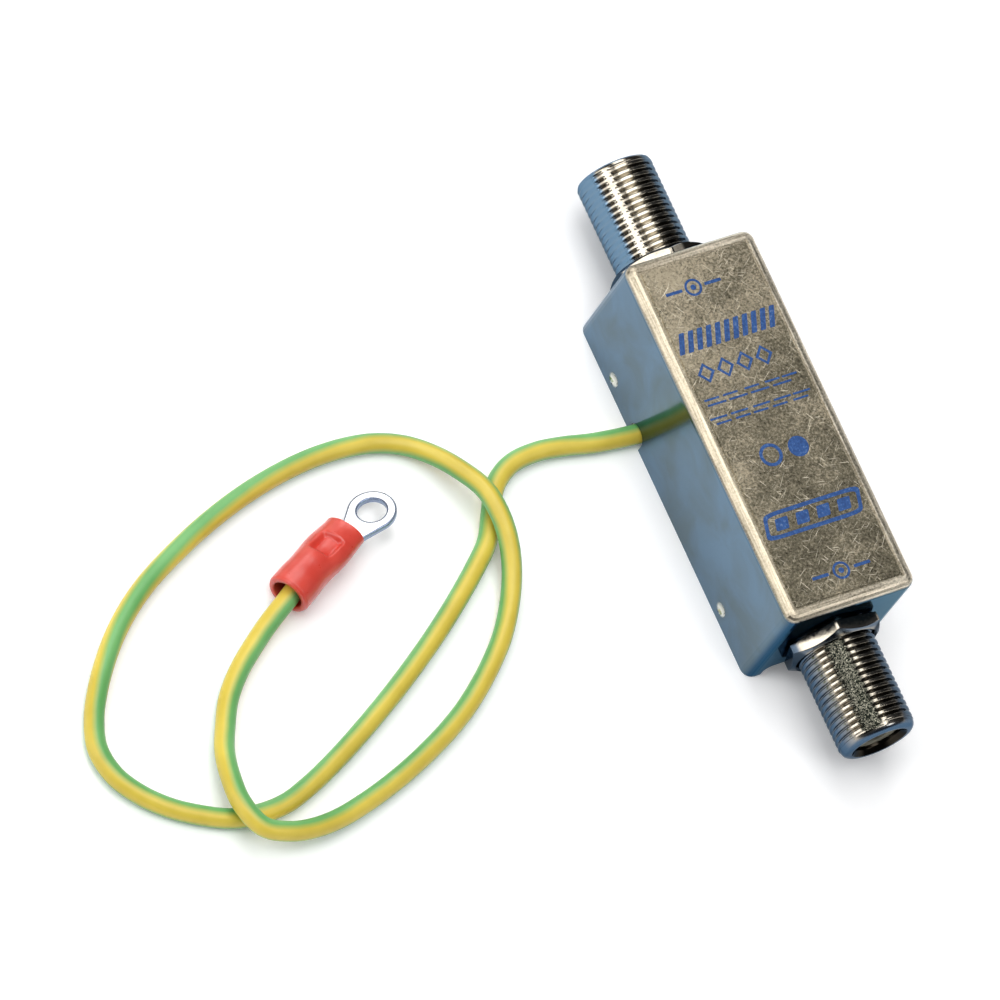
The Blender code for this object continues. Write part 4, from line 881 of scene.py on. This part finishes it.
def can_material(look):
    """Drawn tinplate: a handled and scratched top, warm partly as a painted reflection, with
    painted highlights on its borders; walls in a painted blue reflection, end walls in painted
    shade.

    The speckle is about 0.25 mm, the tin's spangle about 5 mm, the scratches 0.1 by 2 to 3 mm.
    The borders, the end walls and the dimples are found from the place on the can.
    """
    material, tree, shader, place = start_material("tinplate_can", Metallic=1.0)
    x, y, z = add(tree, "SeparateXYZ", {"Vector": place}).outputs
    across, along = (calculate(tree, "ABSOLUTE", value) for value in (x, y))
    spangle = noise(tree, place, 0.16, 3.0, Distortion=0.6)
    speckle = noise(tree, place, 3.6, 4.0, Roughness=0.75)
    scratch = scratch_mask(tree, place)

    # The top is darker towards the equipment end, at -Y, and towards the right
    level = calculate(tree, "MULTIPLY_ADD", spangle, 0.5, speckle)
    for top_darkening in (spread(tree, y, 22.0, -20.0, -0.02, 0.12), spread(tree, x, -5.0, 6.0, 0, 0.06)):
        level = calculate(tree, "SUBTRACT", level, top_darkening)
    # Warm tone of the top, partly tarnish and partly a painted warm reflection
    warm = ramp(tree, level, (0.42, look.top_dark), (0.62, "#726C5B"), (0.86, look.top))
    warm = blend(tree, calculate(tree, "MULTIPLY", scratch, 0.75), warm, "#DED4BE")

    # Painted highlight on the top's borders and rounded edges, brighter towards +X
    side_border = spread(tree, across, *SIDE_BORDER, smooth=True)
    end_border = spread(tree, along, *END_BORDER, smooth=True)
    far = spread(tree, x, -8.0, 8.0)
    painted_border_highlight = ramp(tree, far, (0.0, "#C6BAA4"), (0.12, "#D2C6B0"), (1.0, "#EDE2CD"))
    drawn = add(tree, "Mix", {"Factor": end_border, 4: stretched(tree, place, (0.22, 5.0, 0.22)),
                              5: stretched(tree, place, (5.0, 0.22, 0.22))}, data_type="VECTOR")
    streaks = calculate(tree, "ADD", noise(tree, drawn.outputs[1], 1.0, 3.0), speckle)
    bright = blend(tree, spread(tree, streaks, 0.75, 1.15), "#8F8674", painted_border_highlight)
    top = blend(tree, calculate(tree, "MAXIMUM", side_border, end_border), warm, bright)

    # Walls in a painted blue reflection, patched by the spangle
    painted_wall_reflection = ramp(tree, spangle, (0.35, "#526671"), (0.65, look.wall))
    # End walls in dark blue painted shade, varying across the can
    end_wall_painted_shade = ramp(tree, far, (0.0, "#35506A"), (0.5, "#2E4457"), (1.0, "#4E5A5F"))
    end_wall = spread(tree, along, *END_ROUNDING, smooth=True)
    walls = blend(tree, end_wall, painted_wall_reflection, end_wall_painted_shade)
    # A bluer, lower edge tint dims the end walls' grazing reflections, as painted shade
    end_wall_reflection_tint = blend(tree, end_wall, "#FFFFFF", "#B8D0E1")
    tree.links.new(end_wall_reflection_tint, shader.inputs["Specular Tint"])

    # Dimples: distance from the nearer one of a wall; painted highlight low in each dimple, painted
    # shade high in it
    off_along = calculate(tree, "SUBTRACT", along, DIMPLE_ALONG)
    off_up = calculate(tree, "SUBTRACT", z, DIMPLE_HEIGHT)
    off = add(tree, "CombineXYZ", {0: off_along, 1: off_up, 2: 0.0}).outputs[0]
    reach = add(tree, "VectorMath", {0: off}, operation="LENGTH").outputs["Value"]
    dimple = spread(tree, reach, DIMPLE_RADIUS, DIMPLE_RADIUS * 0.8)
    dimple_painted_light = ramp(tree, spread(tree, off_up, -0.8, 0.8), (0.2, "#DAD9CF"), (0.5, "#B2B4AC"),
                  (0.8, "#667784"))
    walls = blend(tree, dimple, walls, dimple_painted_light)

    up = spread(tree, z, *TOP_ROUNDING, smooth=True)
    rough = add(tree, "Mix", {"Factor": up, 2: spread(tree, speckle, 0.3, 0.7, 0.09, 0.17),
                              3: spread(tree, speckle, 0.3, 0.7, 0.26, 0.46)})
    relief = calculate(tree, "MULTIPLY", calculate(tree, "SUBTRACT", speckle, scratch), up)
    apply_finish(tree, shader, blend(tree, up, walls, top), rough.outputs[0], relief, 0.35, 0.03)
    return material


def tray_material(look):
    """Folded tinplate with rolling lines, dark blue-grey as painted shade under the can."""
    material, tree, shader, place = start_material("tinplate_tray", Metallic=1.0, Roughness=0.25)
    lines = noise(tree, stretched(tree, place, (0.5, 9.0, 0.5)), 1.0, 4.0)
    # Painted shade: dark blue-grey tones
    tone = ramp(tree, lines, (0.3, "#2C3E4D"), (0.7, "#465A69"))
    apply_finish(tree, shader, tone, spread(tree, lines, 0, 1, 0.2, 0.34), lines, 0.12, 0.02)
    return material


def build_housing(look):
    """Finishes of the can and the tray."""
    dress("housing_can", can_material(look))
    dress("base_tray", tray_material(look))


def ink_material(look):
    """Pad-printed ink on bright metal: blue, satin, thin and pinholed at the strokes."""
    material, tree, shader, place = start_material("blue_ink", Roughness=0.45, Metallic=0.25)
    grain = noise(tree, place, 3.2, 4.0)
    tone = ramp(tree, grain, (0.35, "#1B4078"), (0.6, look.ink), (0.78, "#6B82A2"))
    apply_finish(tree, shader, tone, None, grain, 0.15, 0.02)
    return material


# Plain printed marks on the top face, in mm. A row is: middle along the can, places across it,
# half width and half height of a mark, width of its stroke (0 for a filled one), slant, and
# squareness: 1 is a diamond, 2 is round and 12 is a box
STRIPE_PLACES = tuple(round(-6.1 + 1.22 * i, 2) for i in range(11))
INK_ROWS = [
    (18.6, (-1.6,), 1.1, 1.1, 0.3, 0.0, 2),
    (18.6, (-1.6,), 0.35, 0.35, 0.0, 0.0, 2),
    (18.6, (-4.2, 1.0), 1.1, 0.2, 0.0, 0.0, 12),
    (12.4, STRIPE_PLACES, 0.36, 1.3, 0.0, 0.4, 12),
    (8.2, (-4.8, -2.2, 0.4, 3.0), 1.15, 1.3, 0.45, 0.0, 1),
    (5.0, (-5.6, -3.1, -0.2, 2.6, 4.9), 1.0, 0.13, 0.0, 0.0, 12),
    (4.3, (-5.2, -2.3, 0.6, 3.6), 1.25, 0.13, 0.0, 0.0, 12),
    (2.6, (-5.8, -3.0, 0.0, 2.8, 5.4), 1.15, 0.13, 0.0, 0.0, 12),
    (1.9, (-5.4, -2.8, -0.4, 2.2, 5.0), 1.0, 0.13, 0.0, 0.0, 12),
    (-3.6, (-1.7,), 1.45, 1.45, 0.42, 0.0, 2),
    (-3.6, (2.0,), 1.3, 1.3, 0.0, 0.0, 2),
    (-11.9, (0.0,), 6.5, 1.7, 0.5, 0.25, 9),
    (-11.9, (-4.2, -1.4, 1.4, 4.2), 0.85, 0.75, 0.0, 0.25, 12),
    (-19.4, (0.2,), 1.1, 1.1, 0.3, 0.0, 2),
    (-19.4, (0.2,), 0.35, 0.35, 0.0, 0.0, 2),
    (-19.4, (-2.6, 3.0), 1.1, 0.2, 0.0, 0.0, 12),
]


def build_print(look):
    """Plain printed marks, a hair above the top face.

    A mark's edge is the superellipse |x / half width|^n + |y / half height|^n = 1, and its
    inner edge is the same curve, a stroke's width smaller. x is then slanted by y.
    """
    material = ink_material(look)
    lift = CAN_TOP + 0.012 * MM
    angle = np.linspace(0, TURN, 64, endpoint=False)
    for row, (y, places, half_width, half_height, stroke, slant, squareness) in enumerate(INK_ROWS):
        reach = (np.abs(np.cos(angle)) ** squareness
                 + np.abs(np.sin(angle)) ** squareness) ** (-1 / squareness)
        edge = np.stack([np.cos(angle) * reach, np.sin(angle) * reach], axis=-1)
        outside = edge * [half_width, half_height]
        inside = edge * [half_width - stroke, half_height - stroke] if stroke else edge * 0.01
        share = np.linspace(0, 1, 3)[:, None, None]
        flat = inside + (outside - inside) * share
        for number, x in enumerate(places):
            points = np.stack([x + flat[..., 0] + slant * flat[..., 1], y + flat[..., 1],
                               np.full(flat.shape[:2], lift / MM)], axis=-1) * MM
            name = f"ink_row_{row + 1}_mark_{number + 1}"
            add_piece(name, surface(name, points, wrap_rows=False), material)


def plain_material(name, dark, light, pattern_mm, rough_low, rough_high, bump_mm, **settings):
    """A moulded, dipped or fired finish: two close tones in patches, uneven gloss, fine relief."""
    material, tree, shader, place = start_material(name, **settings)
    tone = ramp(tree, noise(tree, place, 1 / pattern_mm, 4.0), (0.3, dark), (0.7, light))
    grain = noise(tree, place, 4 / pattern_mm, 3.0)
    apply_finish(tree, shader, tone, spread(tree, grain, 0, 1, rough_low, rough_high), grain,
                 0.3, bump_mm)
    return material


def build_inner_parts():
    """Finishes of what sits inside the housing and in the sockets' bores."""
    finishes = [
        # Insulators in dark olive, as painted shade in the sockets' bores
        ("line_insulator equipment_insulator", "aged_polyethylene",
         "#4A493D", "#6E6B58", 0.9, 0.4, 0.6, 0.02, {"IOR": 1.5}),
        ("line_contact equipment_contact", "drawn_brass",
         "#6F5A38", "#A58A58", 0.5, 0.2, 0.4, 0.01, {"Metallic": 1.0}),
        ("circuit_board", "glass_epoxy_board",
         "#2C5B3C", "#41764C", 0.6, 0.35, 0.5, 0.02, {"IOR": 1.55}),
        ("gas_tube_ceramic", "glazed_ceramic",
         "#D2AEAC", "#E2C4C1", 0.8, 0.15, 0.3, 0.01, {"IOR": 1.6}),
        ("gas_tube_cap_left gas_tube_cap_right", "plated_cap",
         "#A39C8E", "#C3BDAF", 0.5, 0.2, 0.35, 0.01, {"Metallic": 1.0}),
        ("choke_coil", "enamelled_copper",
         "#8C3F1D", "#B8622F", 0.4, 0.15, 0.3, 0.01, {"Metallic": 0.6}),
        ("disc_capacitor_left disc_capacitor_right", "dipped_phenolic",
         "#B57A22", "#D09238", 0.7, 0.35, 0.6, 0.03, {"IOR": 1.5}),
        ("clamp_diode_left clamp_diode_right", "moulded_epoxy",
         "#232326", "#36363A", 0.4, 0.5, 0.75, 0.02, {"IOR": 1.5}),
        ("gas_tube_lead_left gas_tube_lead_right earth_tag earth_conductor", "tinned_wire",
         "#A9ADB2", "#CDD0D3", 0.5, 0.25, 0.4, 0.01, {"Metallic": 1.0}),
    ]
    for nodes, *measures, shader_settings in finishes:
        material = plain_material(*measures, **shader_settings)
        for node in nodes.split():
            dress(node, material)


class SURGE_OT_stage(bpy.types.Operator):
    """Make the camera, the floor, the surroundings and the lamps"""

    bl_idname = "surge.stage"
    bl_label = "Stage"

    def execute(self, context):
        build_camera()
        build_stage(context.scene.surge_stage)
        return {"FINISHED"}


class SURGE_OT_earth_lead(bpy.types.Operator):
    """Make the striped earth lead and the ring terminal on its end"""

    bl_idname = "surge.earth_lead"
    bl_label = "Earth lead and terminal"

    def execute(self, context):
        build_lead_and_terminal(context.scene.surge_lead, context.scene.surge_terminal)
        return {"FINISHED"}


class SURGE_OT_sockets(bpy.types.Operator):
    """Make both threaded sockets"""

    bl_idname = "surge.sockets"
    bl_label = "Threaded sockets"

    def execute(self, context):
        build_sockets(context.scene.surge_sockets)
        return {"FINISHED"}


class SURGE_OT_nuts(bpy.types.Operator):
    """Make both hex nuts and finish the lock washers"""

    bl_idname = "surge.nuts"
    bl_label = "Hex nuts"

    def execute(self, context):
        build_nuts(context.scene.surge_sockets)
        return {"FINISHED"}


class SURGE_OT_housing(bpy.types.Operator):
    """Finish the can and the tray"""

    bl_idname = "surge.housing"
    bl_label = "Housing"

    def execute(self, context):
        build_housing(context.scene.surge_housing)
        return {"FINISHED"}


class SURGE_OT_print(bpy.types.Operator):
    """Make the plain printed marks on the top face"""

    bl_idname = "surge.marks"
    bl_label = "Printed marks"

    def execute(self, context):
        build_print(context.scene.surge_housing)
        return {"FINISHED"}


class SURGE_OT_inner_parts(bpy.types.Operator):
    """Finish the board, what it carries, and the insulators and contacts"""

    bl_idname = "surge.inner_parts"
    bl_label = "Inner parts"

    def execute(self, context):
        build_inner_parts()
        return {"FINISHED"}


OPERATORS = (SURGE_OT_stage, SURGE_OT_earth_lead, SURGE_OT_sockets, SURGE_OT_nuts,
             SURGE_OT_housing, SURGE_OT_print, SURGE_OT_inner_parts)
LOOKS = {"surge_stage": StageLook, "surge_housing": HousingLook, "surge_sockets": SocketLook,
         "surge_lead": LeadLook, "surge_terminal": TerminalLook}


class SURGE_PT_pieces(bpy.types.Panel):
    """Lists what can be made"""

    bl_idname = "SURGE_PT_pieces"
    bl_label = "Surge protector"
    bl_space_type = "VIEW_3D"
    bl_region_type = "UI"
    bl_category = "Surge protector"

    def draw(self, context):
        for operator in OPERATORS:
            self.layout.operator(operator.bl_idname)
        for name, look in LOOKS.items():
            box = self.layout.box()
            box.label(text=look.__doc__)
            for setting in look.__annotations__:
                box.prop(getattr(context.scene, name), setting)


def register():
    for item in (*LOOKS.values(), *OPERATORS, SURGE_PT_pieces):
        bpy.utils.register_class(item)
    for name, look in LOOKS.items():
        setattr(bpy.types.Scene, name, bpy.props.PointerProperty(type=look))


def unregister():
    for name in LOOKS:
        delattr(bpy.types.Scene, name)
    for item in (SURGE_PT_pieces, *reversed(OPERATORS), *LOOKS.values()):
        bpy.utils.unregister_class(item)


def main():
    register()
    for operator in OPERATORS:
        group, name = operator.bl_idname.split(".")
        getattr(getattr(bpy.ops, group), name)()


if __name__ == "__main__":
    main()
